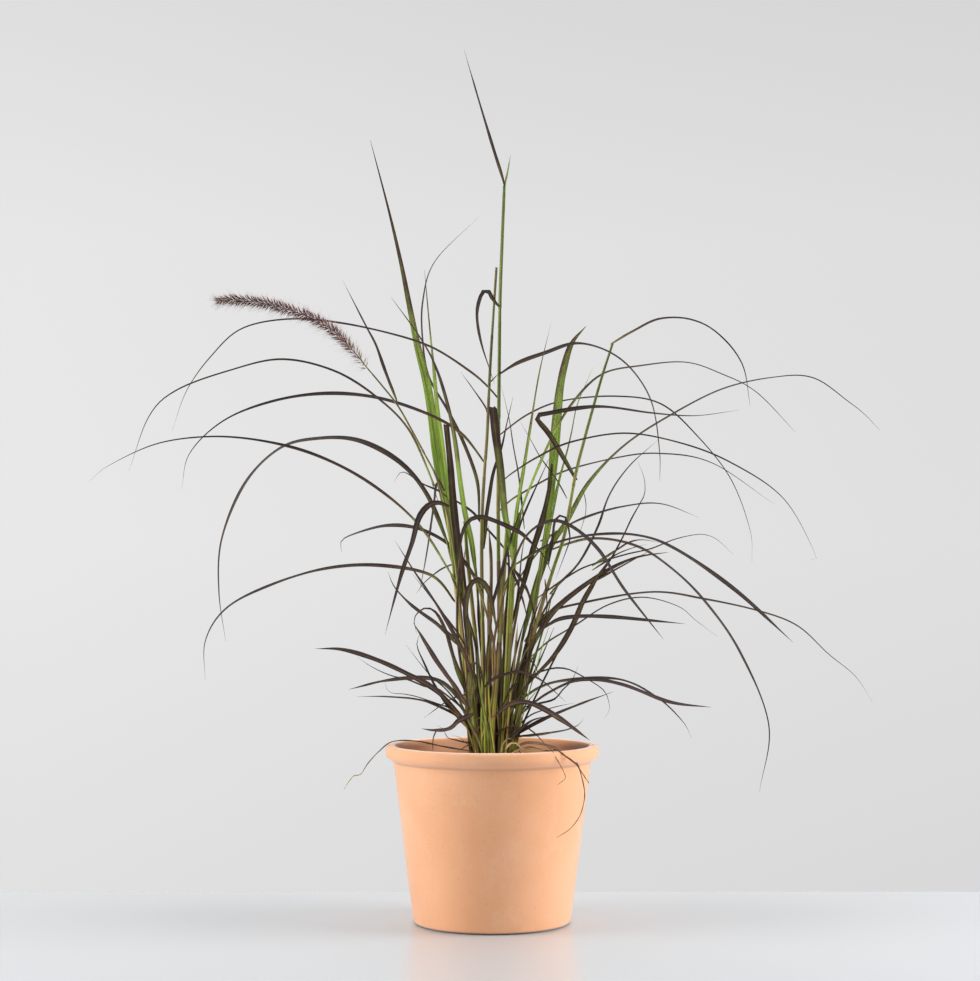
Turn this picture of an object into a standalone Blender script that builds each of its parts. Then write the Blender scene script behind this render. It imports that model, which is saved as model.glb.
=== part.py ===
"""A clump of purple fountain grass growing in a terracotta pot, standing on its base.

Metres, +Z up. The origin is the middle of the pot's underside, and the plant's broad side faces -Y.
The pot is a turned shell, the soil a plug inside it. Stems are round tapered tubes rooted at the
soil, and each leaf is a narrow strip that leaves its stem and arches over.
"""
import math

import bmesh
import bpy
import numpy as np
from mathutils import Vector

CM = 0.01
MM = 0.001
GAP = 0.3 * MM

# The pot, turned about Z: a rolled bead runs round its rim, and its wall tapers straight to the base.
POT_HEIGHT = 19.8 * CM
RIM_RADIUS = 12.0 * CM
BASE_RADIUS = 8.8 * CM
WALL = 0.75 * CM
FLOOR = 1.2 * CM
DRAIN_RADIUS = 1.0 * CM
BEAD_HEIGHT = 1.9 * CM
BEAD_PROUD = 0.95 * CM
BEAD_TOP_EDGE = 0.7 * CM  # from the widest part of the bead in to its flat top
BEAD_SHOULDER = 0.2 * CM
BEAD_UNDERCUT = 0.3 * CM
INNER_RADIUS = RIM_RADIUS - 1.3 * CM  # inside of the wall just under the rim
MOUTH_DEPTH = 1.2 * CM
MOUTH_FLARE = 0.15 * CM
FOOT_ROUNDING = 0.3 * CM
FLOOR_ROUNDING = 0.5 * CM
TURNED_STEPS = 40
SEAM_MERGE = 0.01 * MM

# The soil plug inside the pot.
SOIL_TOP = 17.0 * CM
SOIL_GAP = 4 * GAP
SOIL_ROUNDING = 0.4 * CM

# Leaves taper from a narrow root to a fine tip.
LEAF_STEPS = 14
LEAF_THICKNESS = 0.7 * MM
LEAF_TIP_WIDTH = 1.0 * MM
LEAF_ROOT_WIDTH = 0.7  # share of the full width
LEAF_ROOT_LENGTH = 0.15  # share of the length over which the root widens
LEAF_TAPER = 2.4

# Stems, strands and the flower spike.
STEM_STEPS = 9
STRAND_STEPS = 12
STRAND_TIP = 0.5  # share of the diameter left at the tip
SPIKE_STEPS = 13
SPIKE_START = 0.25  # share of the full diameter at the stalk
SPIKE_WIDENING = 4.0
SPIKE_ROUNDING = 5
CURVE_CUTS = 24  # straight cuts between two points of a smooth path, before it is evened out

# The front elevation is drawn as it looks from this point, so depth never changes its outline.
EYE = Vector((0.0, -2.32, 0.39))

# Stems: bottom and top diameter in mm, depth behind the front elevation in cm at the bottom and the
# top, then points (x, z) of the front elevation in cm, from the soil up.
STEMS = {
    "stem_tall": (4.6, 3.0, 1.2, 1.8, [
        (0.6, 17.4), (0.9, 25), (0.8, 35), (0.7, 45), (0.75, 55),
        (0.8, 62), (0.9, 70), (1.15, 77), (1.4, 83.2)]),
    "stem_cut": (4.4, 2.5, 0.0, 0.3, [
        (-0.8, 17.4), (-0.9, 27), (-1.15, 38), (-1.15, 45), (-0.9, 50),
        (-0.55, 55), (-0.3, 61), (0.05, 67), (0.5, 73.9)]),
    "stem_right": (4.6, 2.6, -0.8, 0.5, [
        (2.3, 17.4), (3.2, 25), (4.9, 33), (6.9, 39.5), (8.2, 43.5),
        (9.4, 50), (10.4, 54), (11.3, 57.3), (12.5, 61.5), (13.7, 65.2)]),
    "stem_left": (5.0, 5.0, 0.4, 0.6, [
        (-2.2, 17.4), (-2.9, 25), (-3.5, 32), (-4.1, 38), (-4.6, 42.5), (-5.1, 46.5)]),
    "stem_centre": (7.0, 5.0, -2.2, -1.6, [
        (-0.1, 17.4), (0.1, 22), (0.5, 27), (0.9, 32.5), (1.15, 37), (1.45, 41), (1.8, 45)]),
    "stem_green": (5.5, 4.2, -1.2, -0.8, [
        (1.3, 17.4), (1.6, 24), (1.85, 28), (2.1, 33), (2.35, 38), (2.7, 43), (3.0, 46)]),
    "stem_inner_left": (4.6, 4.0, 1.6, 1.4, [
        (-1.3, 17.4), (-1.4, 24), (-1.7, 30), (-2.3, 36), (-2.8, 41), (-3.1, 45)]),
    "stem_inner_right": (4.8, 4.0, 1.2, 1.4, [
        (2.0, 17.4), (2.9, 24), (4.0, 30), (4.8, 35), (5.5, 40), (6.2, 44.5)]),
    "stem_back": (4.6, 4.0, 2.8, 2.6, [
        (0.0, 17.4), (-0.2, 25), (-0.2, 33), (-0.1, 40), (-0.4, 44.5)]),
    "flower_stalk": (3.8, 1.6, -1.4, 0.0, [
        (-1.6, 17.4), (-2.6, 25), (-3.3, 32), (-4.0, 39), (-4.9, 45), (-6.2, 49.7),
        (-7.6, 52.5), (-9.1, 55.3), (-10.7, 58.1), (-12.5, 60.4), (-14.1, 62.3)]),
}

# The flower spike carries on from its stalk. Diameter in mm with the bristles, then depth and points.
SPIKE = (15.0, 0.1, 5.0, [
    (-14.3, 62.5), (-16, 64.6), (-18, 66.6), (-20, 67.9), (-23, 69), (-26, 69.8), (-29, 70.2), (-31.6, 70.2)])

# Leaves: width in mm, turn of the blade in degrees at the root and the tip (0 faces front, 90 is edge
# on), depth in cm at the root and the tip, then points (x, z) in cm from the root to the tip.
LEAVES = {
    # Upright leaves of the left stem.
    "leaf_left_tall": (12, 10, 40, 0.3, 18, [
        (-5.3, 47.2), (-6.3, 53), (-7.3, 60), (-8.5, 65),
        (-9.5, 70), (-10.4, 74.5), (-11.8, 80.5), (-13.9, 88.5)]),
    "leaf_left_green": (6, 20, 50, 2.8, 12, [
        (-5.0, 47.5), (-5.6, 53), (-6.2, 57.5), (-6.6, 62), (-7.1, 67), (-7.7, 73.6)]),
    "leaf_left_slim": (7, 20, 60, 2.0, -14, [
        (-3.1, 45.6), (-3.7, 50), (-4.2, 54), (-5.0, 58), (-6.4, 62.5), (-8.2, 65.9), (-11.5, 70.5)]),
    "leaf_left_hooked": (5, 30, 70, 0.9, 22, [
        (-1.5, 45.5), (-1.7, 49.5), (-3.2, 53.8), (-5.0, 57.5), (-7.2, 61.4),
        (-7.9, 65.5), (-7.9, 70), (-6.5, 74.6), (-1.6, 79.6)]),
    "leaf_flag": (5, 40, 60, -0.4, 9, [
        (-10.9, 58.8), (-12.1, 61.9), (-13.2, 65), (-14.4, 67.3), (-17, 72.4)]),
    # Arching leaves on the left.
    "leaf_left_high_arch": (7, 110, 115, 1.6, 17, [
        (0.35, 59.3), (-2.5, 62), (-6.5, 64.6), (-11, 66.2), (-17, 67.5),
        (-23, 68), (-28.5, 66.9), (-32, 63.7), (-34.7, 59.8), (-36.3, 55.3)]),
    "leaf_left_second_arch": (6, 110, 115, -0.2, -15, [
        (-6.6, 49.2), (-9.4, 55.3), (-13, 59), (-18, 62.1), (-24, 63.4),
        (-30, 62.1), (-36, 59.8), (-39, 56.8), (-41.2, 50.6)]),
    "leaf_left_third_arch": (7, 110, 115, 0.3, 8, [
        (-1.35, 52.2), (-3.5, 54.9), (-7.2, 57.1), (-13, 59), (-19, 59.5),
        (-25, 58.6), (-30.5, 56.4), (-34.3, 52.7), (-35.2, 48.6)]),
    "leaf_left_far": (6, 110, 110, 0.2, -6, [
        (-4.8, 39.3), (-8.5, 44.8), (-14, 49.4), (-20, 52.5), (-26, 54.1),
        (-32, 54.6), (-38, 53.8), (-43.5, 51.4), (-46.2, 49.2)]),
    "leaf_left_round_arch": (8, 60, 115, 0.7, 25, [
        (-5.1, 42.6), (-7.4, 48), (-10.5, 51.7), (-15, 54.1), (-19.5, 54.4),
        (-24, 53.3), (-28, 49.3), (-30.6, 43), (-30.9, 37), (-30.1, 31.4)]),
    "leaf_left_wide_arch": (7, 60, 65, 0.0, -27, [
        (-4.3, 36), (-7, 38.9), (-13, 40), (-19, 39.6),
        (-25, 37.8), (-30, 35.2), (-32.4, 31.5), (-32.4, 27)]),
    "leaf_left_curl": (7, 55, 70, 1.8, 12, [
        (-2.8, 39.2), (-5.5, 42.7), (-8.5, 44.2), (-12, 44.5), (-15.8, 43.5), (-17.1, 42.7), (-17, 41.5)]),
    "leaf_left_bent": (8, 30, 60, -1.6, -12, [
        (-5.5, 47), (-7.3, 46.7), (-8.4, 45.3), (-9.3, 42.5), (-10.5, 39), (-12.1, 32.2)]),
    # Lower leaves on the left.
    "leaf_left_straight": (8, 50, 60, -1.8, -12, [
        (-2.5, 28.3), (-4.2, 32), (-6.5, 35.9), (-8.8, 39.3), (-11, 42.8)]),
    "leaf_left_mid": (7, 55, 60, 1.0, 11, [
        (-3.9, 31.2), (-6.3, 33.4), (-9, 35.4), (-11, 37.5), (-11.8, 39.3)]),
    "leaf_left_loop": (7, 50, 70, -1.6, -7, [
        (-2.9, 25.6), (-4.2, 29), (-5.3, 32.7), (-6.5, 34.8), (-7.8, 35.1), (-8.8, 34), (-8.5, 32.3)]),
    "leaf_left_mauve": (7, 55, 60, -2.6, -19, [
        (-2.6, 23.8), (-4.5, 26.7), (-6.4, 29.4), (-8.9, 33.5)]),
    "leaf_left_low_broad": (8, 55, 55, -2.8, -12, [
        (-2.4, 21.6), (-6, 25.6), (-9.5, 27.7), (-13.5, 29.5), (-17, 30.5), (-20, 30.6)]),
    "leaf_left_low_slim": (7, 60, 65, 1.2, 13, [
        (-3.2, 24.4), (-5.5, 26.7), (-8, 27.3), (-12, 27), (-16.2, 26)]),
    "leaf_left_low_mauve": (8, 45, 60, -3.4, -8, [
        (-2.2, 23.2), (-3.7, 22.5), (-4.8, 21.6), (-6.5, 21.4), (-8, 21.6)]),
    # The middle of the clump.
    "leaf_centre_broad": (9.5, 10, 40, 2.6, 7, [
        (6.3, 45.3), (6.9, 51), (7.3, 56), (7.7, 60), (8.3, 63), (9.1, 65.3), (10.7, 67.2)]),
    "leaf_centre_droop": (6, 30, 70, -0.4, -4, [
        (0.1, 70.2), (-0.5, 71.2), (-1.2, 70.8), (-1.7, 68.5), (-1.2, 65.2), (0.3, 60.5)]),
    "leaf_top": (5, 40, 60, 1.8, -3, [
        (1.3, 83.6), (0.2, 87.3), (-1.3, 92.3), (-3.2, 98.9)]),
    "leaf_centre_arch": (8, 55, 60, -2.6, -5, [
        (-3.6, 42.5), (-3.0, 45), (-1.5, 45.4), (1.5, 44.6), (4.3, 42.9), (6.8, 39)]),
    # Arching leaves on the right.
    "leaf_right_top_arch": (7, 60, 110, -0.4, -16, [
        (0.0, 61), (3, 63), (6, 64.1), (9.5, 65.2), (13, 64.4),
        (16, 62.1), (18.2, 58.3), (19, 53), (19, 49.5)]),
    "leaf_right_long_arch": (7, 60, 110, -1.8, 10, [
        (3.5, 46.8), (6.7, 54.3), (9.2, 58.5), (12.5, 61.7), (17, 62.7),
        (22, 63.1), (26, 61.8), (30, 59.7), (34.4, 55.1)]),
    "leaf_right_third_arch": (7, 105, 110, 2.4, 23, [
        (1.2, 55.1), (4, 57.1), (8, 58.7), (14, 59.2), (19, 58.4),
        (23, 55), (27, 49.9), (29.2, 44), (29.4, 40.3)]),
    "leaf_right_folded": (7, 30, 105, 0.4, -6, [
        (9.1, 50.5), (6.7, 54.6), (5.1, 56.7), (6.2, 57.2),
        (12, 58), (18, 57.3), (23, 57), (28, 57.6)]),
    "leaf_right_low_arch": (6, 105, 110, -2.6, -22, [
        (2.3, 50.5), (5, 52.2), (9, 54), (15, 55), (21, 54),
        (27, 51.7), (33, 47.6), (36.5, 41.4), (36.1, 40.6)]),
    "leaf_right_thin_arch": (6, 105, 105, -1.2, 27, [
        (3.6, 48.3), (8, 50.6), (14, 52.2), (19, 52.7), (25, 51.6), (32, 46.9)]),
    "leaf_right_far": (9, 30, 110, 2.0, 2, [
        (6.7, 42.5), (8.5, 45), (11, 49.4), (15, 53.6), (20, 56.9),
        (26, 60), (32, 61.4), (36.5, 61.3), (40.5, 58.6), (45.4, 54.4)]),
    "leaf_right_flag": (6, 105, 110, 0.8, 12, [
        (14.1, 65.5), (16, 66.6), (19, 68), (22.4, 68), (25.5, 66.5), (28.4, 62.9), (29.3, 58)]),
    "leaf_right_level": (6, 60, 65, 2.2, 16, [
        (6.7, 43.4), (10, 45.2), (14.5, 46.6), (19, 47), (23.5, 45.4)]),
    "leaf_right_crossing": (8, 55, 60, -2.2, -25, [
        (1.8, 38.6), (3.8, 43.2), (6.5, 45), (9, 44.4), (12, 41.8), (15, 37.2), (19.4, 31.6)]),
    "leaf_right_dark_arch": (8, 60, 60, -0.4, -8, [
        (2.8, 40.2), (6.5, 42.3), (11, 43.4), (16.5, 43.4), (21, 41.7), (27.5, 37.2), (34, 31.3)]),
    "leaf_right_fountain": (8, 60, 60, 1.6, 25, [
        (5.9, 41.5), (11, 43), (16, 42.3), (20, 39.9),
        (24, 36), (28, 30.2), (31.2, 22), (30.1, 14.5)]),
    "leaf_right_brown": (8, 40, 60, -1.0, -6, [
        (4.8, 31.4), (7.5, 35.3), (12, 38.8), (16, 40.8), (20, 41.5)]),
    "leaf_right_slanting": (7, 40, 60, 1.4, 9, [
        (3.9, 27.5), (7, 29.8), (9, 33), (10.8, 37), (13.5, 41)]),
    "leaf_right_swaying": (6, 65, 65, 0.2, 1, [
        (5.4, 34.2), (10, 35.7), (18, 37), (24, 36.2), (30, 34.9),
        (34.5, 33.2), (38, 30), (41, 27.5), (42.9, 24.6)]),
    "leaf_right_flat": (7, 60, 60, -2.0, -16, [
        (4.4, 32), (8, 34.2), (13, 34.2), (21.8, 33.4)]),
    # Low leaves on the right.
    "leaf_right_low_broad": (8, 55, 55, -1.8, -9, [
        (3.2, 23.2), (6, 25.4), (10, 27.1), (14.5, 26.6), (20, 24.6), (24.7, 24)]),
    "leaf_right_low_tip": (7, 60, 60, 1.7, 14, [
        (3.4, 25), (7, 26.8), (14, 27.2), (18.5, 25.2), (21.5, 22.4), (22.5, 20.5)]),
    "leaf_right_low_mauve": (8, 45, 55, -3.2, -9, [
        (0.5, 23.2), (2.2, 24.4), (4.5, 24.4), (7.5, 22.8), (11, 20.3)]),
}

GREEN_LEAVES = ("leaf_left_tall", "leaf_left_green", "leaf_left_slim", "leaf_centre_broad")

# Leaves cut or broken off square, in the same order, which keep their width to the end.
CUT_LEAVES = {
    "leaf_left_broken": (8, 10, 10, -1.2, -1.2, [
        (-3.7, 41), (-4.3, 46), (-4.7, 51), (-5.2, 55.9)]),
    "leaf_centre_cut": (10, 10, 10, -2.6, -2.0, [
        (1.45, 45.8), (1.2, 48.5), (0.8, 52), (0.4, 55), (0.1, 57.9)]),
}

# Dried strands that hang over the rim: diameter in mm, then points (x, z, depth) in cm.
STRANDS = {
    "dry_strand_left": (1.6, [
        (-3.2, 19.2, -0.8), (-5.5, 19.6, -0.8), (-8.5, 20.2, -0.6),
        (-11.2, 20.15, -0.5), (-12.7, 19.1, -0.6),
        (-14.0, 17.7, -0.9), (-14.8, 16.5, -1.2), (-15.7, 16.2, -1.5), (-16.7, 14.8, -2.0)]),
    "dry_strand_right": (1.8, [
        (3.1, 19.6, -3.2), (4.5, 20.0, -6.0), (6.0, 19.75, -8.6), (7.2, 19.35, -9.2), (8.3, 18.5, -9.4),
        (9.3, 17.8, -9.4), (10.1, 16.7, -9.0), (10.9, 15.5, -8.6)]),
}


def clear_scene():
    """Removes whatever the file starts with."""
    for old in list(bpy.data.objects):
        bpy.data.objects.remove(old, do_unlink=True)


def make_material(name, colour, roughness):
    """A plain matt material in one colour."""
    material = bpy.data.materials.new(name)
    material.use_nodes = True
    shader = material.node_tree.nodes["Principled BSDF"]
    shader.inputs["Base Color"].default_value = (*colour, 1.0)
    shader.inputs["Roughness"].default_value = roughness
    shader.inputs["Metallic"].default_value = 0.0
    material.diffuse_color = (*colour, 1.0)
    return material


def add_object(name, data, material):
    """A named object with the material, in the plant's collection."""
    data.materials.append(material)
    obj = bpy.data.objects.new(name, data)
    plant.objects.link(obj)
    return obj


def on_sight_line(x, z, depth):
    """Point (x, z) of the front elevation, carried along its line of sight to the given depth."""
    front = Vector((x * CM, 0.0, z * CM))
    return EYE + (front - EYE) * (1.0 - depth * CM / EYE.y)


def smooth_path(points, steps):
    """Catmull-Rom curve through the points, cut at equal lengths into the given number of steps."""
    knots = np.array([list(p) for p in points])
    padded = np.vstack([2 * knots[0] - knots[1], knots, 2 * knots[-1] - knots[-2]])
    t = np.linspace(0.0, 1.0, CURVE_CUTS, endpoint=False)[:, None]
    spans = []
    for a, b, c, d in zip(padded, padded[1:], padded[2:], padded[3:]):
        bend = (2 * a - 5 * b + 4 * c - d) * t**2 + (3 * b - 3 * c + d - a) * t**3
        spans.append(0.5 * (2 * b + (c - a) * t + bend))
    fine = np.vstack(spans + [knots[-1]])
    length = np.concatenate([[0.0], np.cumsum(np.linalg.norm(np.diff(fine, axis=0), axis=1))])
    wanted = np.linspace(0.0, length[-1], steps + 1)
    return np.column_stack([np.interp(wanted, length, fine[:, axis]) for axis in range(3)])


def path_in_depth(points, first_depth, last_depth, steps):
    """Front elevation points as a smooth path whose depth grows evenly along its length."""
    flat = smooth_path([(x, 0.0, z) for x, z in points], steps)
    depths = np.linspace(first_depth, last_depth, steps + 1)
    return [on_sight_line(x, z, depth) for (x, _, z), depth in zip(flat, depths)]


def leaf_width(share, width, tapered):
    """Width along a leaf: a little narrower at the root, then a long taper to a fine tip."""
    root = LEAF_ROOT_WIDTH + (1.0 - LEAF_ROOT_WIDTH) * min(share / LEAF_ROOT_LENGTH, 1.0)
    tip = 1.0 - share**LEAF_TAPER if tapered else 1.0
    return max(width * MM * root * tip, LEAF_TIP_WIDTH)


def make_leaf(name, material, tapered, width, root_turn, tip_turn, root_depth, tip_depth, points):
    """A strip laid along its path, turned about the path, and thickened evenly to both sides."""
    path = path_in_depth(points, root_depth, tip_depth, LEAF_STEPS)
    side = 1.0 if points[-1][0] > points[0][0] else -1.0
    edges = []
    for i, here in enumerate(path):
        share = i / LEAF_STEPS
        along = (path[min(i + 1, LEAF_STEPS)] - path[max(i - 1, 0)]).normalized()
        away = (here - EYE).normalized()
        flat = along.cross(away).normalized() * side
        behind = (away - along * away.dot(along)).normalized()
        turn = math.radians(root_turn + (tip_turn - root_turn) * share)
        across = flat * math.cos(turn) + behind * math.sin(turn)
        edges.append(across * leaf_width(share, width, tapered))
    mesh = bpy.data.meshes.new(name)
    strip = bmesh.new()
    bmesh.ops.create_grid(strip, x_segments=LEAF_STEPS, y_segments=1, size=0.5)
    for corner in strip.verts:
        place = round((corner.co.x + 0.5) * LEAF_STEPS)
        corner.co = path[place] + edges[place] * corner.co.y
    strip.to_mesh(mesh)
    strip.free()
    leaf = add_object(name, mesh, material)
    blade = leaf.modifiers.new("thickness", "SOLIDIFY")
    blade.thickness = LEAF_THICKNESS
    blade.offset = 0.0


def make_tube(name, material, path, radii, roundness):
    """A round tube through the path with capped ends; more roundness gives it more sides."""
    curve = bpy.data.curves.new(name, "CURVE")
    curve.dimensions = "3D"
    curve.bevel_depth = 1.0
    curve.bevel_resolution = roundness
    curve.use_fill_caps = True
    spline = curve.splines.new("POLY")
    spline.points.add(len(path) - 1)
    for point, place, radius in zip(spline.points, path, radii):
        point.co = (*place, 1.0)
        point.radius = radius
    add_object(name, curve, material)


def make_stem(name, material, bottom, top, root_depth, tip_depth, points):
    """A round stem from the soil up, tapering evenly from its bottom diameter to its top diameter."""
    path = path_in_depth(points, root_depth, tip_depth, STEM_STEPS)
    radii = np.linspace(bottom, top, STEM_STEPS + 1) * MM / 2
    make_tube(name, material, path, radii, 1)


def make_spike(name, material, diameter, root_depth, tip_depth, points):
    """A bottlebrush: thin at the stalk, full along its length and rounded at the tip."""
    path = path_in_depth(points, root_depth, tip_depth, SPIKE_STEPS)
    share = np.linspace(0.0, 1.0, SPIKE_STEPS + 1)
    widening = np.minimum(SPIKE_START + SPIKE_WIDENING * share, 1.0)
    rounding = np.sqrt(np.clip(1.04 - share**SPIKE_ROUNDING, 0.05, 1.0))
    make_tube(name, material, path, widening * rounding * diameter * MM / 2, 2)


def make_strand(name, material, diameter, points):
    """A thin dead strand, thinner towards its tip."""
    places = [on_sight_line(*point) for point in points]
    path = smooth_path(places, STRAND_STEPS)
    radii = np.linspace(1.0, STRAND_TIP, STRAND_STEPS + 1) * diameter * MM / 2
    make_tube(name, material, path, radii, 1)


def turned(name, profile, material):
    """A closed outline of (radius, height) points, down its outer side first, turned once about Z."""
    outline = bmesh.new()
    corners = [outline.verts.new((radius, 0.0, height)) for radius, height in profile]
    for first, second in zip(corners, corners[1:] + corners[:1]):
        outline.edges.new((first, second))
    mesh = bpy.data.meshes.new(name)
    outline.to_mesh(mesh)
    outline.free()
    obj = add_object(name, mesh, material)
    screw = obj.modifiers.new("turn", "SCREW")
    screw.steps = TURNED_STEPS
    screw.render_steps = TURNED_STEPS
    screw.use_merge_vertices = True
    screw.merge_threshold = SEAM_MERGE


def wall_radius(height):
    """Outer radius of the straight tapered wall at a height above the base."""
    top = RIM_RADIUS - BEAD_PROUD
    return BASE_RADIUS + (top - BASE_RADIUS) * height / (POT_HEIGHT - BEAD_HEIGHT)


def make_pot():
    """A shell with a rolled rim, a flat base and a drain hole."""
    bead_bottom = POT_HEIGHT - BEAD_HEIGHT
    inner_floor = FLOOR + FLOOR_ROUNDING
    profile = [
        (RIM_RADIUS - BEAD_TOP_EDGE, POT_HEIGHT),
        (RIM_RADIUS - BEAD_SHOULDER, POT_HEIGHT - 0.12 * CM),
        (RIM_RADIUS, POT_HEIGHT - 0.4 * CM),
        (RIM_RADIUS, POT_HEIGHT - 1.35 * CM),
        (RIM_RADIUS - BEAD_UNDERCUT, bead_bottom + 0.2 * CM),
        (wall_radius(bead_bottom), bead_bottom),
        (wall_radius(FOOT_ROUNDING), FOOT_ROUNDING),
        (BASE_RADIUS - 0.2 * CM, 0.0),
        (DRAIN_RADIUS, 0.0),
        (DRAIN_RADIUS, FLOOR),
        (wall_radius(FLOOR) - WALL - 0.3 * CM, FLOOR),
        (wall_radius(inner_floor) - WALL, inner_floor),
        (INNER_RADIUS, POT_HEIGHT - MOUTH_DEPTH),
        (INNER_RADIUS + MOUTH_FLARE, POT_HEIGHT - 0.25 * CM),
    ]
    turned("terracotta_pot", profile, terracotta)


def make_soil():
    """A plug that fits the pot's inside with an even gap."""
    low = FLOOR + FLOOR_ROUNDING
    low_radius = wall_radius(low) - WALL
    slope = (INNER_RADIUS - low_radius) / (POT_HEIGHT - MOUTH_DEPTH - low)
    rise = 0.1 * CM
    profile = [
        (low_radius + slope * (SOIL_TOP - low) - SOIL_GAP, SOIL_TOP),
        (low_radius + slope * rise - SOIL_GAP, low + rise),
        (low_radius - SOIL_ROUNDING, FLOOR + GAP),
        (0.0, FLOOR + GAP),
        (0.0, SOIL_TOP),
    ]
    turned("potting_soil", profile, soil)


clear_scene()
plant = bpy.data.collections.new("potted_fountain_grass")
bpy.context.scene.collection.children.link(plant)

terracotta = make_material("terracotta", (0.72, 0.42, 0.27), 0.85)
soil = make_material("soil", (0.05, 0.035, 0.025), 0.95)
sheath = make_material("sheath", (0.19, 0.21, 0.09), 0.5)
blade_green = make_material("blade_green", (0.16, 0.24, 0.06), 0.45)
blade_purple = make_material("blade_purple", (0.07, 0.04, 0.045), 0.45)
flower = make_material("flower", (0.17, 0.09, 0.09), 0.8)
dried = make_material("dried", (0.20, 0.13, 0.09), 0.8)

make_pot()
make_soil()
for stem_name, stem in STEMS.items():
    make_stem(stem_name, sheath, *stem)
make_spike("flower_spike", flower, *SPIKE)
for leaf_name, leaf in LEAVES.items():
    make_leaf(leaf_name, blade_green if leaf_name in GREEN_LEAVES else blade_purple, True, *leaf)
for leaf_name, leaf in CUT_LEAVES.items():
    make_leaf(leaf_name, blade_purple, False, *leaf)
for strand_name, strand in STRANDS.items():
    make_strand(strand_name, dried, *strand)
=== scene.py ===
"""Looks of a clump of purple fountain grass in a terracotta pot, in the order it is put together."""
import math
import bpy
import numpy as np
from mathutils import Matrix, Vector


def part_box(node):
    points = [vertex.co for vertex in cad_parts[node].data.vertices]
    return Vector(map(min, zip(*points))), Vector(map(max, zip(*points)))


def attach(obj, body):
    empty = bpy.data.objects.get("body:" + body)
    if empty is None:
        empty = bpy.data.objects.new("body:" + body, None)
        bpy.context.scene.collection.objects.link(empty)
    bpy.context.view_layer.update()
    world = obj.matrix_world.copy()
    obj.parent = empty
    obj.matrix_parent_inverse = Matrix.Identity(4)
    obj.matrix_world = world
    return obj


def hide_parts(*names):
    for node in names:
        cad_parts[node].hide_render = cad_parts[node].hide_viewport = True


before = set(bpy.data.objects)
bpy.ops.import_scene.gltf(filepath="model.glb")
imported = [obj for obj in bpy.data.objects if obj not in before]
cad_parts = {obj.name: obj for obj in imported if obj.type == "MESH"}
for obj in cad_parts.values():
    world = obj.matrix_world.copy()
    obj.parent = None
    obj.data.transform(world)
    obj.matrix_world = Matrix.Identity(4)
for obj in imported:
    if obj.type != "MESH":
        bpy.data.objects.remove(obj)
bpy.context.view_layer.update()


# ---------------------------------------------------------------------------------------------
# Terracotta pot. Thrown and turned red clay, fired once and left unglazed, with a thick rolled
# rim that keeps its edge from chipping. It stands on its flat underside, round a drain hole.

CM = 0.01
MM = 0.001
BODY = "root"


def surface(points, closed_rows=False, start_cap=False, end_cap=False):
    """Faces of a grid whose rows are rings. Each cap is a fan from the middle of its end ring."""
    rows, columns = points.shape[:2]
    index = np.arange(rows * columns).reshape(rows, columns)
    lower = index if closed_rows else index[:-1]
    upper = np.roll(index, -1, axis=0) if closed_rows else index[1:]
    quads = np.stack([lower, np.roll(lower, -1, axis=1), np.roll(upper, -1, axis=1), upper], axis=-1)
    corners = points.reshape(-1, 3)
    fans = []
    for wanted, ring, order in ((start_cap, index[0], (1, 0)), (end_cap, index[-1], (0, 1))):
        if wanted:
            middle = np.full(columns, len(corners))
            corners = np.vstack([corners, corners[ring].mean(axis=0)])
            sides = (ring, np.roll(ring, -1))
            fans.append(np.stack([middle, sides[order[0]], sides[order[1]]], axis=-1))
    triangles = np.vstack(fans) if fans else np.zeros((0, 3), dtype=int)
    return corners, quads.reshape(-1, 4), triangles


def facing_out(corners, quads, triangles):
    """Turns every face over if the closed surface's signed volume, summed over triangles, is negative."""
    cut = np.vstack([quads[:, [0, 1, 2]], quads[:, [0, 2, 3]], triangles])
    a, b, c = (corners[cut[:, k]] for k in range(3))
    if np.einsum("ij,ij->i", a, np.cross(b, c)).sum() < 0:
        return corners, quads[:, ::-1], triangles[:, ::-1]
    return corners, quads, triangles


def strip_corners(part):
    """Strip map at every face corner. A face that closes a ring is carried on past 2, not back to 0."""
    found = []
    for faces in part[1:3]:
        corners = part[3][faces].astype(float)
        closing = np.ptp(corners[..., 0], axis=1) > 1
        corners[..., 0] += 2.0 * (closing[:, None] & (corners[..., 0] < 1))
        found.append(corners.reshape(-1, 2))
    return np.vstack(found)


def make_piece(name, parts, material, nodes=(), smooth_angle=50):
    """One mesh of several parts, each given as corners, quads, triangles, strip map and ripeness."""
    offsets = np.cumsum([0] + [len(part[0]) for part in parts])
    faces = []
    for part, offset in zip(parts, offsets):
        faces += (part[1] + offset).tolist() + (part[2] + offset).tolist()
    mesh = bpy.data.meshes.new(name)
    mesh.from_pydata(np.vstack([part[0] for part in parts]), [], faces)
    strip = np.vstack([strip_corners(part) for part in parts])
    mesh.uv_layers.new(name="strip").data.foreach_set("uv", strip.ravel())
    ripeness = mesh.attributes.new("ripeness", "FLOAT", "POINT")
    ripeness.data.foreach_set("value", np.concatenate([part[4] for part in parts]))
    mesh.shade_smooth()
    mesh.set_sharp_from_angle(angle=math.radians(smooth_angle))
    mesh.materials.append(material)
    piece = bpy.data.objects.new(name, mesh)
    bpy.context.scene.collection.objects.link(piece)
    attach(piece, BODY)
    if nodes:
        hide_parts(*nodes)
    return piece


def plain_part(corners, quads, triangles):
    """A part with no strip map of its own and a ripeness of nought."""
    return corners, quads, triangles, np.zeros((len(corners), 2)), np.zeros(len(corners))


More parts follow.
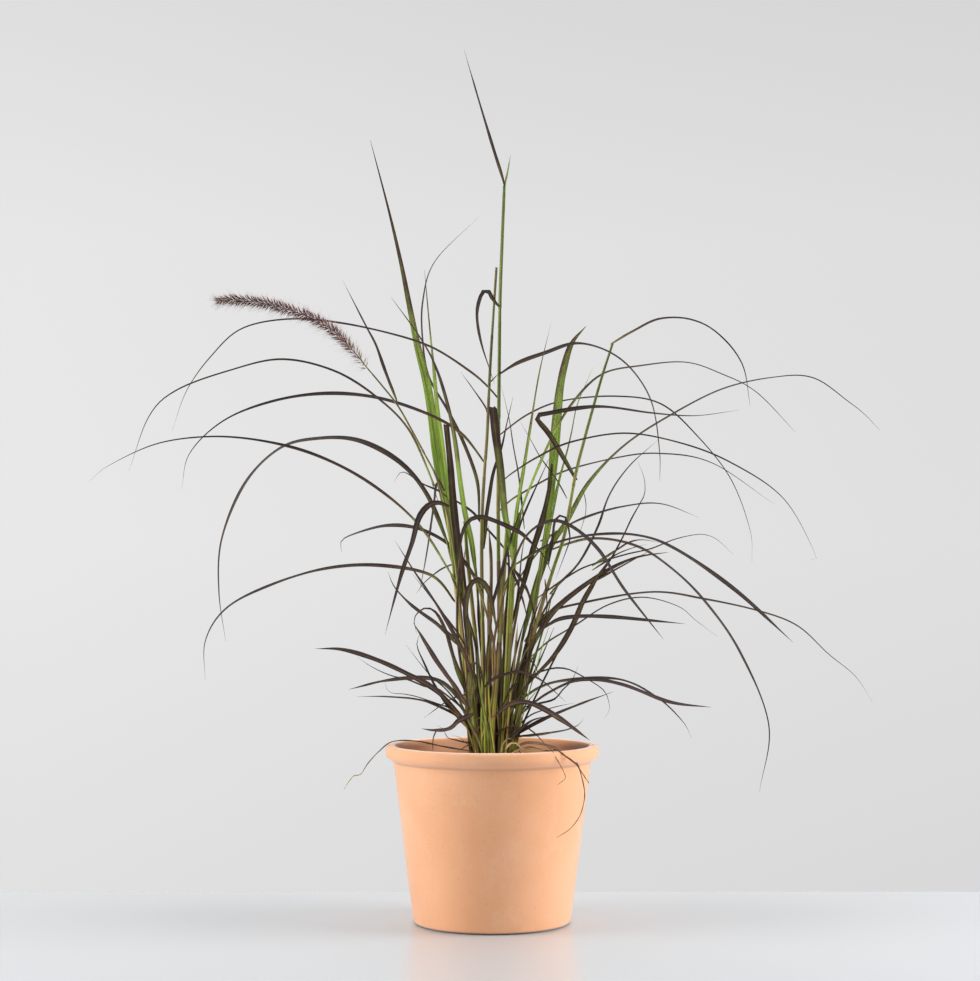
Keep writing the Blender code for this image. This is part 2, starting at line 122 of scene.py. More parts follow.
def rounded(profile, radii, steps=5):
    """Closed outline with each corner replaced by a quadratic curve that starts its radius away."""
    corners = np.array(profile)
    before = np.roll(corners, 1, axis=0)
    after = np.roll(corners, -1, axis=0)
    t = np.linspace(0.0, 1.0, steps)[:, None]
    spans = []
    for a, c, b, radius in zip(before, corners, after, radii):
        start = c + (a - c) * min(radius / np.linalg.norm(a - c), 0.48)
        end = c + (b - c) * min(radius / np.linalg.norm(b - c), 0.48)
        spans.append((1 - t)**2 * start + 2 * t * (1 - t) * c + t**2 * end)
    return np.vstack(spans)


def even_steps(outline, step):
    """The outline with points added so that no stretch is longer than the step."""
    points = [outline[:1]]
    for a, b in zip(outline, np.roll(outline, -1, axis=0)):
        count = max(int(np.ceil(np.linalg.norm(b - a) / step)), 1)
        points.append(a + (b - a) * np.linspace(0.0, 1.0, count + 1)[1:, None])
    return np.vstack(points)[:-1]


def turned(profile, columns):
    """Grid of rings: each (radius, height) point of the profile carried once round the Z axis."""
    angle = np.linspace(0.0, 2 * np.pi, columns, endpoint=False)
    radius, height = profile[:, :1], profile[:, 1:]
    return np.stack([radius * np.cos(angle), radius * np.sin(angle), height + 0 * angle], axis=-1)


def node_group(name, inputs, outputs):
    """An empty shader node group. Its inputs are (name, kind, value) and its outputs (name, kind)."""
    group = bpy.data.node_groups.new(name, "ShaderNodeTree")
    for label, kind, value in inputs:
        socket = group.interface.new_socket(label, in_out="INPUT", socket_type=kind)
        if value is not None:
            socket.default_value = value
    for label, kind in outputs:
        group.interface.new_socket(label, in_out="OUTPUT", socket_type=kind)
    return group, group.nodes.new("NodeGroupInput"), group.nodes.new("NodeGroupOutput")


def add_node(tree, kind, settings=None, **links):
    """Adds a node, sets its named properties, and fills its inputs with values or other sockets. An input
    goes by its label with underscores for spaces, or by its number after an underscore."""
    node = tree.nodes.new(kind)
    for key, value in (settings or {}).items():
        setattr(node, key, value)
    for key, value in links.items():
        socket = node.inputs[int(key[1:])] if key[0] == "_" else node.inputs[key.replace("_", " ")]
        if isinstance(value, bpy.types.NodeSocket):
            tree.links.new(value, socket)
        else:
            socket.default_value = value
    return node


def ramp(tree, factor, stops):
    """A colour ramp with the given (place, colour) stops."""
    node = add_node(tree, "ShaderNodeValToRGB", _0=factor)
    while len(node.color_ramp.elements) < len(stops):
        node.color_ramp.elements.new(0.5)
    for element, (place, colour) in zip(node.color_ramp.elements, stops):
        element.position = place
        element.color = (*colour, 1.0)
    return node.outputs["Color"]


def math_node(tree, operation, a, b=0.0, clamp=False):
    """One sum on a value, or on two of them."""
    settings = {"operation": operation, "use_clamp": clamp}
    return add_node(tree, "ShaderNodeMath", settings, _0=a, _1=b).outputs[0]


def mix_colour(tree, factor, a, b, blend="MIX"):
    """The first colour carried towards its blend with the second by the factor."""
    settings = {"data_type": "RGBA", "blend_type": blend}
    return add_node(tree, "ShaderNodeMix", settings, _0=factor, _6=a, _7=b).outputs[2]


def multiplied(tree, factor, colour, by):
    """The colour times another where the factor is one, and left as it is where it is nought."""
    return mix_colour(tree, factor, colour, mix_colour(tree, 1.0, colour, by, "MULTIPLY"))


def carried(tree, value, start, end, first=0.0, last=1.0, smooth=False):
    """A value's run from start to end carried over to first and last, and level beyond them."""
    settings = {"interpolation_type": "SMOOTHSTEP" if smooth else "LINEAR"}
    node = add_node(tree, "ShaderNodeMapRange", settings, _0=value, _1=start, _2=end, _3=first, _4=last)
    return node.outputs[0]


def new_material(name, **values):
    """A Principled material, with uniform values set on the shader's own sockets."""
    material = bpy.data.materials.new(name)
    material.use_nodes = True
    tree = material.node_tree
    shader = tree.nodes["Principled BSDF"]
    for key, value in values.items():
        shader.inputs[key.replace("_", " ")].default_value = value
    return material, tree, shader


def finish_material(tree, shader, colour, roughness, height, distance):
    """Wires the changing colour, roughness and bump height of a surface into its shader."""
    tree.links.new(colour, shader.inputs["Base Color"])
    tree.links.new(roughness, shader.inputs["Roughness"])
    bump = add_node(tree, "ShaderNodeBump", Strength=1.0, Distance=distance, Height=height)
    tree.links.new(bump.outputs["Normal"], shader.inputs["Normal"])


def speckle_group():
    """Speckle: three sizes of noise on the piece's own coordinates, put out as a cloud, grain and pits."""
    group, given, result = node_group(
        "earth_speckle",
        [("Vector", "NodeSocketVector", None), ("Cloud Scale", "NodeSocketFloat", 18.0),
         ("Grain Scale", "NodeSocketFloat", 900.0), ("Pit Scale", "NodeSocketFloat", 420.0)],
        [("Cloud", "NodeSocketFloat"), ("Grain", "NodeSocketFloat"), ("Pits", "NodeSocketFloat")])
    cloud = add_node(group, "ShaderNodeTexNoise", Vector=given.outputs[0], Scale=given.outputs[1], Detail=5.0)
    grain = add_node(group, "ShaderNodeTexNoise", Vector=given.outputs[0], Scale=given.outputs[2], Detail=3.0)
    cells = add_node(group, "ShaderNodeTexVoronoi", Vector=given.outputs[0], Scale=given.outputs[3])
    pits = math_node(group, "LESS_THAN", cells.outputs["Distance"], 0.10)
    group.links.new(cloud.outputs[0], result.inputs[0])
    group.links.new(grain.outputs[0], result.inputs[1])
    group.links.new(pits, result.inputs[2])
    return group


earth_speckle = speckle_group()


def place_group(tree, group, **links):
    """Places a node group in a material with its own values, and gives back its outputs."""
    return add_node(tree, "ShaderNodeGroup", {"node_tree": group}, **links).outputs


def terracotta_material(crease_height):
    """Dry fired clay: a salmon body with clouds, fine dark and pale grain, small pits and pale scuffs.

    The inner wall is darker in moist patches, and painted shade darkens it deeper below the lip and towards
    the sides. Painted shade darkens the crease under the rim, and a painted contact shadow darkens the base
    where it meets the table."""
    wall_lean = 0.1257  # how far the wall leans out for its height
    mid_wall = (8.35 * CM, 8.55 * CM)  # radii between the inner face and the outer, brought down to the foot
    material, tree, shader = new_material("terracotta", Metallic=0.0, Specular_IOR_Level=0.45,
                                          Sheen_Weight=0.5, Sheen_Roughness=0.5)
    place = add_node(tree, "ShaderNodeTexCoord").outputs["Object"]
    speckle = place_group(tree, earth_speckle, Vector=place, Cloud_Scale=11.0, Grain_Scale=1300.0,
                          Pit_Scale=170.0)
    body = ramp(tree, speckle["Cloud"], [(0.3, (0.785, 0.385, 0.195)), (0.5, (0.825, 0.415, 0.220)),
                                         (0.7, (0.855, 0.452, 0.256))])
    grain = ramp(tree, speckle["Grain"], [(0.28, (0.86, 0.83, 0.80)), (0.5, (1, 1, 1)),
                                          (0.74, (1.06, 1.07, 1.08))])
    colour = multiplied(tree, 0.5, body, grain)
    dusty = add_node(tree, "ShaderNodeTexNoise", Vector=place, Scale=34.0, Detail=7.0, Roughness=0.65)
    dust = ramp(tree, dusty.outputs[0], [(0.56, (0, 0, 0)), (0.70, (1, 1, 1))])
    colour = mix_colour(tree, math_node(tree, "MULTIPLY", dust, 0.22), colour, (0.88, 0.60, 0.42, 1))
    pits = math_node(tree, "MULTIPLY", speckle["Pits"], 0.45)
    colour = mix_colour(tree, pits, colour, (0.42, 0.20, 0.11, 1))
    x, y, z = add_node(tree, "ShaderNodeSeparateXYZ", _0=place).outputs
    squares = (math_node(tree, "MULTIPLY", x, x), math_node(tree, "MULTIPLY", y, y))
    radius = math_node(tree, "SQRT", math_node(tree, "ADD", *squares))
    at_foot = math_node(tree, "ADD", radius, math_node(tree, "MULTIPLY", z, -wall_lean))
    # Painted shade on the inner wall, deeper below the lip and towards the sides, mixed with moist patches
    # from the clouds.
    inner = carried(tree, at_foot, *mid_wall, 1.0, 0.0)
    below_lip = carried(tree, z, 19.9 * CM, 19.0 * CM)
    sideways = carried(tree, math_node(tree, "ABSOLUTE", x), 5.0 * CM, 9.8 * CM, 0.1, 1.3, smooth=True)
    patches = math_node(tree, "MULTIPLY", math_node(tree, "ADD", speckle["Cloud"], 0.5), sideways)
    damp_and_shade = math_node(tree, "MULTIPLY", math_node(tree, "MULTIPLY", inner, below_lip), patches, clamp=True)
    colour = multiplied(tree, damp_and_shade, colour, (0.42, 0.33, 0.31, 1))
    # Painted shade: a darker band in the crease under the rolled rim.
    off_crease = math_node(tree, "ABSOLUTE", math_node(tree, "SUBTRACT", z, crease_height))
    crease = carried(tree, off_crease, 0.4 * MM, 2.6 * MM, 1.0, 0.0, smooth=True)
    colour = multiplied(tree, crease, colour, (0.84, 0.77, 0.68, 1))
    # Painted contact shadow: the clay is darkened within a few mm of the table.
    foot_shadow = carried(tree, z, 0.8 * MM, 2.4 * MM, 1.0, 0.0)
    colour = mix_colour(tree, foot_shadow, colour, (0.10, 0.05, 0.03, 1))
    roughness = math_node(tree, "ADD", 0.74, math_node(tree, "MULTIPLY", speckle["Grain"], 0.14))
    height = math_node(tree, "SUBTRACT", speckle["Grain"], math_node(tree, "MULTIPLY", speckle["Pits"], 0.9))
    finish_material(tree, shader, colour, roughness, height, 0.2 * MM)
    return material


def pot_shape():
    """The pot's closed outline turned round, with faint throwing ridges and a slightly uneven wall."""
    low, high = (np.array(corner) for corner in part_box("terracotta_pot"))
    height = high[2]
    rim = (high[0] - low[0]) / 2
    base = 8.8 * CM
    wall_top = rim - 0.95 * CM
    bead_bottom = height - 1.9 * CM
    inner = rim - 1.3 * CM
    floor = 1.2 * CM
    outline = [
        (rim - 0.75 * CM, height), (rim - 0.02 * CM, height - 0.02 * CM), (rim, height - 1.3 * CM),
        (wall_top + 0.03 * CM, bead_bottom + 0.05 * CM), (wall_top - 0.02 * CM, bead_bottom - 0.3 * CM),
        (base + 0.02 * CM, 0.25 * CM), (base - 0.28 * CM, 0.0), (1.0 * CM, 0.0), (1.0 * CM, floor),
        (base - 0.6 * CM, floor), (inner, height - 1.1 * CM), (inner + 0.12 * CM, height - 0.02 * CM)]
    fillets = [0.3, 0.5, 0.55, 0.12, 0.4, 0.15, 0.05, 0.15, 0.15, 0.6, 0.9, 0.35]  # cm, one for each corner
    profile = even_steps(rounded(outline, [fillet * CM for fillet in fillets]), 3 * MM)
    columns = 180
    grid = turned(profile, columns)
    angle = np.linspace(0.0, 2 * np.pi, columns, endpoint=False)
    up = profile[:, 1:]
    ridges = 0.05 * MM * np.sin(up * 2 * np.pi / (5.5 * MM)) * (up > 1 * CM)
    uneven = 0.22 * MM * (np.sin(2 * angle + 0.7 + up * 9) + 0.6 * np.sin(5 * angle - up * 31))
    grid[:, :, :2] *= (1.0 + (ridges + uneven) / np.maximum(profile[:, :1], base / 2))[:, :, None]
    return grid


pot_faces = facing_out(*surface(pot_shape(), closed_rows=True))
under_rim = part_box("terracotta_pot")[1][2] - 1.75 * CM
make_piece("terracotta_pot_turned", [plain_part(*pot_faces)], terracotta_material(under_rim),
           ["terracotta_pot"], smooth_angle=60)


# ---------------------------------------------------------------------------------------------
# Potting soil. Dark peat and bark mix, firmed by hand round the roots and heaped a little at the
# crown. Coarse crumbs and a few pale perlite grains lie loose on top.

def lumpy(x, y, wavelength, seed):
    """Bumps from the sum of twelve plane waves of about one wavelength in random directions."""
    random = np.random.default_rng(seed)
    total = 0.0
    for heading, phase, stretch in zip(random.uniform(0, 2 * np.pi, 12), random.uniform(0, 2 * np.pi, 12),
                                       random.uniform(0.7, 1.4, 12)):
        wave = 2 * np.pi / (wavelength * stretch)
        total = total + np.sin(wave * (x * np.cos(heading) + y * np.sin(heading)) + phase)
    return total / 12


soil_low, soil_high = (np.array(corner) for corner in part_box("potting_soil"))
soil_radius = (soil_high[0] - soil_low[0]) / 2 - 0.2 * MM


def soil_height(x, y):
    """Height of the soil surface: a low heap at the crown, with lumps of three sizes."""
    heap = 6 * MM * np.exp(-(x**2 + y**2) / (4.5 * CM)**2)
    lumps = (2.2 * MM * lumpy(x, y, 3.5 * CM, 1) + 1.6 * MM * lumpy(x, y, 1.1 * CM, 2)
             + 1.0 * MM * lumpy(x, y, 5 * MM, 3))
    return soil_high[2] - 1.5 * MM + heap + lumps


def soil_plug():
    """A disc of rings that follows the soil surface, with a tapered side and a closed bottom."""
    columns = 144
    angle = np.linspace(0.0, 2 * np.pi, columns, endpoint=False)
    radius = np.linspace(0.0, soil_radius, 64)[1:, None]
    x, y = radius * np.cos(angle), radius * np.sin(angle)
    top = np.stack([x, y, soil_height(x, y)], axis=-1)
    side = turned(np.array([[soil_radius - 0.8 * CM, 9 * CM], [soil_radius - 2.0 * CM, 1.6 * CM],
                            [soil_radius - 2.6 * CM, soil_low[2]], [1 * CM, soil_low[2]]]), columns)
    return facing_out(*surface(np.concatenate([top, side]), start_cap=True, end_cap=True))


def repeated_faces(rows, sides, count):
    """Faces of many like shapes, each of some rings, then its start pole and its end pole."""
    _, quads, _ = surface(np.zeros((rows, sides, 3)))
    ring = np.arange(sides)
    last = (rows - 1) * sides
    start_pole = rows * sides
    fans = np.vstack([np.stack([np.full(sides, start_pole), np.roll(ring, -1), ring], axis=-1),
                      np.stack([np.full(sides, start_pole + 1), ring, np.roll(ring, -1)], axis=-1)
                      + np.array([0, last, last])])
    offset = (np.arange(count) * (start_pole + 2))[:, None, None]
    return (quads[None] + offset).reshape(-1, 4), (fans[None] + offset).reshape(-1, 3)


def many_lumps(centres, sizes, seed):
    """Rough pebbles: at each centre a ball of four rings and two poles, stretched, dented and turned."""
    random = np.random.default_rng(seed)
    count = len(centres)
    sides = 6
    rings = np.radians([36.0, 72.0, 108.0, 144.0])[:, None]
    turn = np.linspace(0.0, 2 * np.pi, sides, endpoint=False)
    level = np.cos(rings) + 0 * turn
    ball = np.stack([np.sin(rings) * np.cos(turn), np.sin(rings) * np.sin(turn), level], axis=-1)
    ball = ball.reshape(-1, 3)
    ball = ball * random.uniform(0.7, 1.2, (count, len(ball), 1)) * sizes[:, None, :]
    heading = random.uniform(0, 2 * np.pi, count)[:, None]
    tip = random.uniform(-0.7, 0.7, count)[:, None]
    x = ball[..., 0] * np.cos(heading) - ball[..., 1] * np.sin(heading)
    y = ball[..., 0] * np.sin(heading) + ball[..., 1] * np.cos(heading)
    y, z = y * np.cos(tip) - ball[..., 2] * np.sin(tip), y * np.sin(tip) + ball[..., 2] * np.cos(tip)
    shaped = np.stack([x, y, z], axis=-1)
    poles = np.stack([shaped[:, :sides].mean(axis=1), shaped[:, -sides:].mean(axis=1)], axis=1) * 1.25
    corners = (np.concatenate([shaped, poles], axis=1) + centres[:, None, :]).reshape(-1, 3)
    return plain_part(*facing_out(corners, *repeated_faces(len(rings), sides, count)))


def scattered(count, widest, low, high, seed):
    """Random places on the soil with a random size for each, sunk by a third of their height."""
    random = np.random.default_rng(seed)
    radius = widest * np.sqrt(random.uniform(0, 1, count))
    heading = random.uniform(0, 2 * np.pi, count)
    x, y = radius * np.cos(heading), radius * np.sin(heading)
    sizes = random.uniform(low, high, count)[:, None] * random.uniform(0.55, 1.0, (count, 3))
    return np.stack([x, y, soil_height(x, y) + sizes[:, 2] * 0.35], axis=-1), sizes


def earth_material(name, dark, light, roughness):
    """Crumbly earth, bark or grit between two colours, from clouds and grain."""
    material, tree, shader = new_material(name, Metallic=0.0, Specular_IOR_Level=0.25)
    place = add_node(tree, "ShaderNodeTexCoord").outputs["Object"]
    speckle = place_group(tree, earth_speckle, Vector=place, Cloud_Scale=90.0, Grain_Scale=1500.0,
                          Pit_Scale=700.0)
    shade = math_node(tree, "ADD", math_node(tree, "MULTIPLY", speckle["Cloud"], 0.6),
                      math_node(tree, "MULTIPLY", speckle["Grain"], 0.4))
    colour = ramp(tree, shade, [(0.36, dark), (0.64, light)])
    rough = math_node(tree, "ADD", roughness, math_node(tree, "MULTIPLY", speckle["Grain"], 0.1))
    finish_material(tree, shader, colour, rough, speckle["Grain"], 0.6 * MM)
    return material


peat = earth_material("peat", (0.018, 0.011, 0.007), (0.085, 0.052, 0.032), 0.85)
perlite = earth_material("perlite", (0.42, 0.40, 0.36), (0.75, 0.73, 0.69), 0.8)
make_piece("potting_soil_heaped", [plain_part(*soil_plug())], peat, ["potting_soil"], 80)
crumbs = many_lumps(*scattered(1500, soil_radius - 3 * MM, 0.7 * MM, 2.6 * MM, 11), 12)
make_piece("soil_crumbs", [crumbs], peat)
grains = many_lumps(*scattered(110, soil_radius - 4 * MM, 0.7 * MM, 1.6 * MM, 13), 14)
make_piece("perlite_grains", [grains], perlite)


# ---------------------------------------------------------------------------------------------
# Stems. Each shoot of the clump is a hollow round stem with swollen joints, wrapped from each joint
# upwards by the sheath of a leaf. They are rooted at the crown and stand close together.

EYE = np.array([0.0, -2.32, 0.39])  # the front elevation is drawn as it looks from here
STRIP = 10 * CM  # length of stem or leaf that one unit of its strip map covers


def on_sight_line(x, z, depth):
    """Points (x, z) of the front elevation in cm, carried along their lines of sight to the depth."""
    front = np.stack([np.asarray(x) * CM, np.zeros(np.shape(x)), np.asarray(z) * CM], axis=-1)
    return EYE + (front - EYE) * (1.0 - np.asarray(depth) * CM / EYE[1])[..., None]


def smooth_path(points, steps):
    """Catmull-Rom curve through the points, cut at equal lengths into the given number of steps."""
    knots = np.array(points, dtype=float)
    padded = np.vstack([2 * knots[0] - knots[1], knots, 2 * knots[-1] - knots[-2]])
    t = np.linspace(0.0, 1.0, 24, endpoint=False)[None, :, None]
    a, b, c, d = (padded[k:len(padded) - 3 + k, None, :] for k in range(4))
    spans = 0.5 * (2 * b + (c - a) * t + (2 * a - 5 * b + 4 * c - d) * t**2 + (3 * b - 3 * c + d - a) * t**3)
    fine = np.vstack([spans.reshape(-1, knots.shape[1]), knots[-1]])
    length = np.concatenate([[0.0], np.cumsum(np.linalg.norm(np.diff(fine, axis=0), axis=1))])
    wanted = np.linspace(0.0, length[-1], steps + 1)
    return np.column_stack([np.interp(wanted, length, fine[:, axis]) for axis in range(knots.shape[1])])


def path_in_depth(points, first_depth, last_depth, steps):
    """Front elevation points as a smooth path whose depth grows evenly along its length."""
    flat = smooth_path(points, steps)
    return on_sight_line(flat[:, 0], flat[:, 1], np.linspace(first_depth, last_depth, steps + 1))


def unit(vectors):
    """The vectors with their lengths made one."""
    return vectors / np.maximum(np.linalg.norm(vectors, axis=-1, keepdims=True), 1e-12)


def frame_along(path):
    """Along, level and behind directions at each point of a path, seen from the front."""
    along = unit(np.gradient(path, axis=0))
    away = unit(path - EYE)
    flat = unit(np.cross(along, away))
    behind = unit(away - along * np.einsum("ij,ij->i", along, away)[:, None])
    return along, flat, behind


def length_along(path):
    """Length of the path from its start to each of its points."""
    return np.concatenate([[0.0], np.cumsum(np.linalg.norm(np.diff(path, axis=0), axis=1))])


def tube_part(path, radii, columns, ripeness, around=None):
    """A round tube: a ring of the given radius at each path point, closed by a fan at both ends."""
    _, flat, behind = frame_along(path)
    angle = np.linspace(0.0, 2 * np.pi, columns, endpoint=False)
    shape = np.ones(columns) if around is None else around(angle)
    reach = radii[:, None] * shape
    rings = (path[:, None, :] + flat[:, None, :] * (reach * np.cos(angle))[..., None]
             + behind[:, None, :] * (reach * np.sin(angle))[..., None])
    corners, quads, triangles = facing_out(*surface(rings, start_cap=True, end_cap=True))
    length = length_along(path)
    across = np.tile(angle / np.pi, len(path))
    strip = np.column_stack([across, np.repeat(length / STRIP, columns)])
    strip = np.vstack([strip, strip[[0, -1]]])
    ripe = np.repeat(ripeness, columns)
    return corners, quads, triangles, strip, np.concatenate([ripe, ripe[[0, -1]]])


def vein_group():
    """Veins: fine lines along a strip, streaks drawn out along it, a line for its midrib, and one half."""
    group, given, result = node_group(
        "long_veins",
        [("Strip", "NodeSocketVector", None), ("Lines", "NodeSocketFloat", 18.0)],
        [("Lines", "NodeSocketFloat"), ("Streaks", "NodeSocketFloat"), ("Midrib", "NodeSocketFloat"),
         ("Half", "NodeSocketFloat")])
    across = add_node(group, "ShaderNodeSeparateXYZ", _0=given.outputs[0]).outputs[0]
    turns = math_node(group, "MULTIPLY", math_node(group, "MULTIPLY", across, given.outputs[1]), 2 * math.pi)
    drawn = add_node(group, "ShaderNodeMapping", _0=given.outputs[0], _3=(1.5, 0.25, 1.0)).outputs[0]
    streaks = add_node(group, "ShaderNodeTexNoise", Vector=drawn, Scale=2.0, Detail=6.0, Roughness=0.62)
    share = math_node(group, "FRACT", across)
    off_middle = math_node(group, "ABSOLUTE", math_node(group, "SUBTRACT", share, 0.5))
    group.links.new(math_node(group, "SINE", turns), result.inputs[0])
    group.links.new(streaks.outputs[0], result.inputs[1])
    group.links.new(carried(group, off_middle, 0.02, 0.09, 1.0, 0.0), result.inputs[2])
    group.links.new(carried(group, share, 0.40, 0.60, smooth=True), result.inputs[3])
    return group


def crown_group():
    """Masks that run smoothly from 0 to 1 for painted light and shade in the clump: how low a point is and
    how far inside, for painted light in front and painted shade inside; how high up, for the aloft colour;
    and how near it is to the crease where a stem or a sheath lies against its neighbour, for painted shade
    there."""
    group, given, result = node_group(
        "crown_shade",
        [("Place", "NodeSocketVector", None), ("Strip", "NodeSocketVector", None)],
        [("Low", "NodeSocketFloat"), ("Inside", "NodeSocketFloat"), ("Aloft", "NodeSocketFloat"),
         ("Crease", "NodeSocketFloat")])
    _, y, z = add_node(group, "ShaderNodeSeparateXYZ", _0=given.outputs[0]).outputs
    across = add_node(group, "ShaderNodeSeparateXYZ", _0=given.outputs[1]).outputs[0]
    # Near a stem's sides, where it lies against a neighbour, for painted shade.
    beside = math_node(group, "COSINE", math_node(group, "MULTIPLY", across, math.pi))
    side = carried(group, math_node(group, "ABSOLUTE", beside), 0.35, 0.95, smooth=True)
    crowded = carried(group, z, 24 * CM, 46 * CM, 1.0, 0.0, smooth=True)
    group.links.new(carried(group, z, 19 * CM, 33 * CM, 1.0, 0.0, smooth=True), result.inputs[0])
    group.links.new(carried(group, y, -2.4 * CM, 0.4 * CM, smooth=True), result.inputs[1])
    group.links.new(carried(group, z, 40 * CM, 62 * CM, smooth=True), result.inputs[2])
    group.links.new(math_node(group, "MULTIPLY", side, crowded), result.inputs[3])
    return group


long_veins = vein_group()
crown_shade = crown_group()


def plant_material(name, stops, midrib_colour, midrib_share, roughness, lines, groove, two_tone=0.0,
                   aloft=(1.0, 1.0, 1.0), shine=0.2, pale_base_and_front_light=(1.75, 1.65, 1.4), crease_shade_share=0.0):
    """Living or dried blade: ripeness picks the colour, with streaks, veins, blotches and a midrib.

    Low in the clump, painted light lightens the colour in front, partly for the paler base of the shoots, and
    painted shade dims it inside. The aloft colour tints what stands high up, painted shade darkens both sides
    of a stem where stems are crowded, and one half of each strip is painted lighter and the other darker, as
    light falls on a fold or a round stem."""
    # Painted shade inside the clump.
    inside = (0.20, 0.17, 0.095, 1)
    # Painted shade in the creases between crowded stems.
    crease_shade_colour = (0.14, 0.12, 0.08, 1)
    material, tree, shader = new_material(name, Metallic=0.0, Specular_IOR_Level=shine)
    ripe = add_node(tree, "ShaderNodeAttribute", {"attribute_name": "ripeness"}).outputs["Fac"]
    strip = add_node(tree, "ShaderNodeUVMap", {"uv_map": "strip"}).outputs[0]
    veins = place_group(tree, long_veins, Strip=strip, Lines=lines)
    place = add_node(tree, "ShaderNodeTexCoord").outputs["Object"]
    blotch = add_node(tree, "ShaderNodeTexNoise", Vector=place, Scale=55.0, Detail=4.0)
    shift = math_node(tree, "SUBTRACT", blotch.outputs[0], 0.5)
    streak = math_node(tree, "SUBTRACT", veins["Streaks"], 0.5)
    wander = math_node(tree, "ADD", math_node(tree, "MULTIPLY", shift, 0.7),
                       math_node(tree, "MULTIPLY", streak, 1.5))
    lean = add_node(tree, "ShaderNodeMath", {"operation": "MULTIPLY_ADD"}, _0=veins["Half"], _1=two_tone,
                    _2=-two_tone / 2)
    aged = math_node(tree, "ADD", math_node(tree, "MULTIPLY", ripe, 0.9), lean.outputs[0])
    colour = ramp(tree, math_node(tree, "ADD", aged, wander, clamp=True), stops)
    tone = ramp(tree, veins["Streaks"], [(0.38, (0.42, 0.42, 0.44)), (0.5, (1, 1, 1)),
                                         (0.62, (1.9, 1.86, 1.7))])
    colour = multiplied(tree, 0.9, colour, tone)
    # Painted light and shade: one half of each strip lighter and the other darker, as light falls on one side
    # of a fold or a round stem.
    lit_and_shaded_halves = ramp(tree, veins["Half"], [(0.0, (0.68, 0.68, 0.68)), (1.0, (1.34, 1.34, 1.32))])
    colour = mix_colour(tree, 1.0, colour, lit_and_shaded_halves, "MULTIPLY")
    line_shade = math_node(tree, "MULTIPLY", math_node(tree, "ADD", veins["Lines"], 1.0), 0.16)
    colour = mix_colour(tree, line_shade, colour, (0.0, 0.0, 0.0, 1))
    rib = math_node(tree, "MULTIPLY", veins["Midrib"], midrib_share)
    colour = mix_colour(tree, rib, colour, (*midrib_colour, 1))
    crown = place_group(tree, crown_shade, Place=place, Strip=strip)
    # Painted light and shade low in the clump: lighter in front, partly for the paler base of the shoots, and
    # darker inside.
    front_light_and_inside_shade = mix_colour(tree, crown["Inside"], (*pale_base_and_front_light, 1), inside)
    colour = multiplied(tree, crown["Low"], colour, front_light_and_inside_shade)
    colour = multiplied(tree, crown["Aloft"], colour, (*aloft, 1))
    # Painted shade on both sides of a stem where stems are crowded.
    colour = multiplied(tree, math_node(tree, "MULTIPLY", crown["Crease"], crease_shade_share), colour, crease_shade_colour)
    rough = math_node(tree, "ADD", roughness, math_node(tree, "MULTIPLY", streak, 0.25))
    height = math_node(tree, "ADD", math_node(tree, "MULTIPLY", veins["Lines"], 0.5), veins["Streaks"])
    finish_material(tree, shader, colour, rough, height, groove)
    return material


SHEATH_STOPS = [(0.0, (0.29, 0.37, 0.058)), (0.22, (0.34, 0.325, 0.085)), (0.42, (0.29, 0.20, 0.08)),
                (0.62, (0.16, 0.088, 0.048)), (1.0, (0.036, 0.021, 0.017))]
# The sheath's colour is painted much lighter low in front, painted darker inside, and painted dark in the
# creases between crowded stems.
sheath = plant_material("stem_sheath", SHEATH_STOPS, (0.3, 0.3, 0.15), 0.0, 0.42, 9.0, 0.05 * MM,
                        aloft=(0.44, 0.52, 0.62), shine=0.35, pale_base_and_front_light=(2.8, 2.6, 2.0), crease_shade_share=0.9)


def sheathed(length, bottom, top, joints, seed):
    """Radius and ripeness along a stem. It tapers evenly, with a bell-shaped swelling at each joint and a
    hollow just below it, and each sheath ends in a small step between its joint and the next."""
    random = np.random.default_rng(seed)
    rows = max(int(length / (2.2 * MM)), 24)
    share = np.linspace(0.0, 1.0, rows + 1)
    radius = (bottom + (top - bottom) * share) * MM / 2
    ripe = np.zeros(rows + 1)
    swell = np.ones(rows + 1)
    for joint, following in zip(joints, joints[1:] + [1.02]):
        reach = (share - joint) * length
        swell += 0.16 * np.exp(-(reach / (1.6 * MM))**2) - 0.07 * np.exp(-((reach + 4 * MM) / (2.5 * MM))**2)
        end = joint + (following - joint) * random.uniform(0.6, 0.9)
        wrapped = (share > joint) & (share < end)
        swell += 0.09 * wrapped
        rise = np.clip((share - joint) / (end - joint), 0, 1)
        ripe += wrapped * (random.uniform(0.0, 0.1) + random.uniform(0.05, 0.3) * rise**2)
        ripe += 0.22 * np.exp(-(reach / (1.4 * MM))**2) - 0.15 * np.exp(-((reach + 3 * MM) / (2 * MM))**2)
    return rows, radius * swell, ripe


def closing(rows):
    """Width along a tube that closes to a blunt point over the last tenth of its length."""
    return np.clip((1 - np.linspace(0.0, 1.0, rows + 1)) / 0.1, 0.15, 1.0)


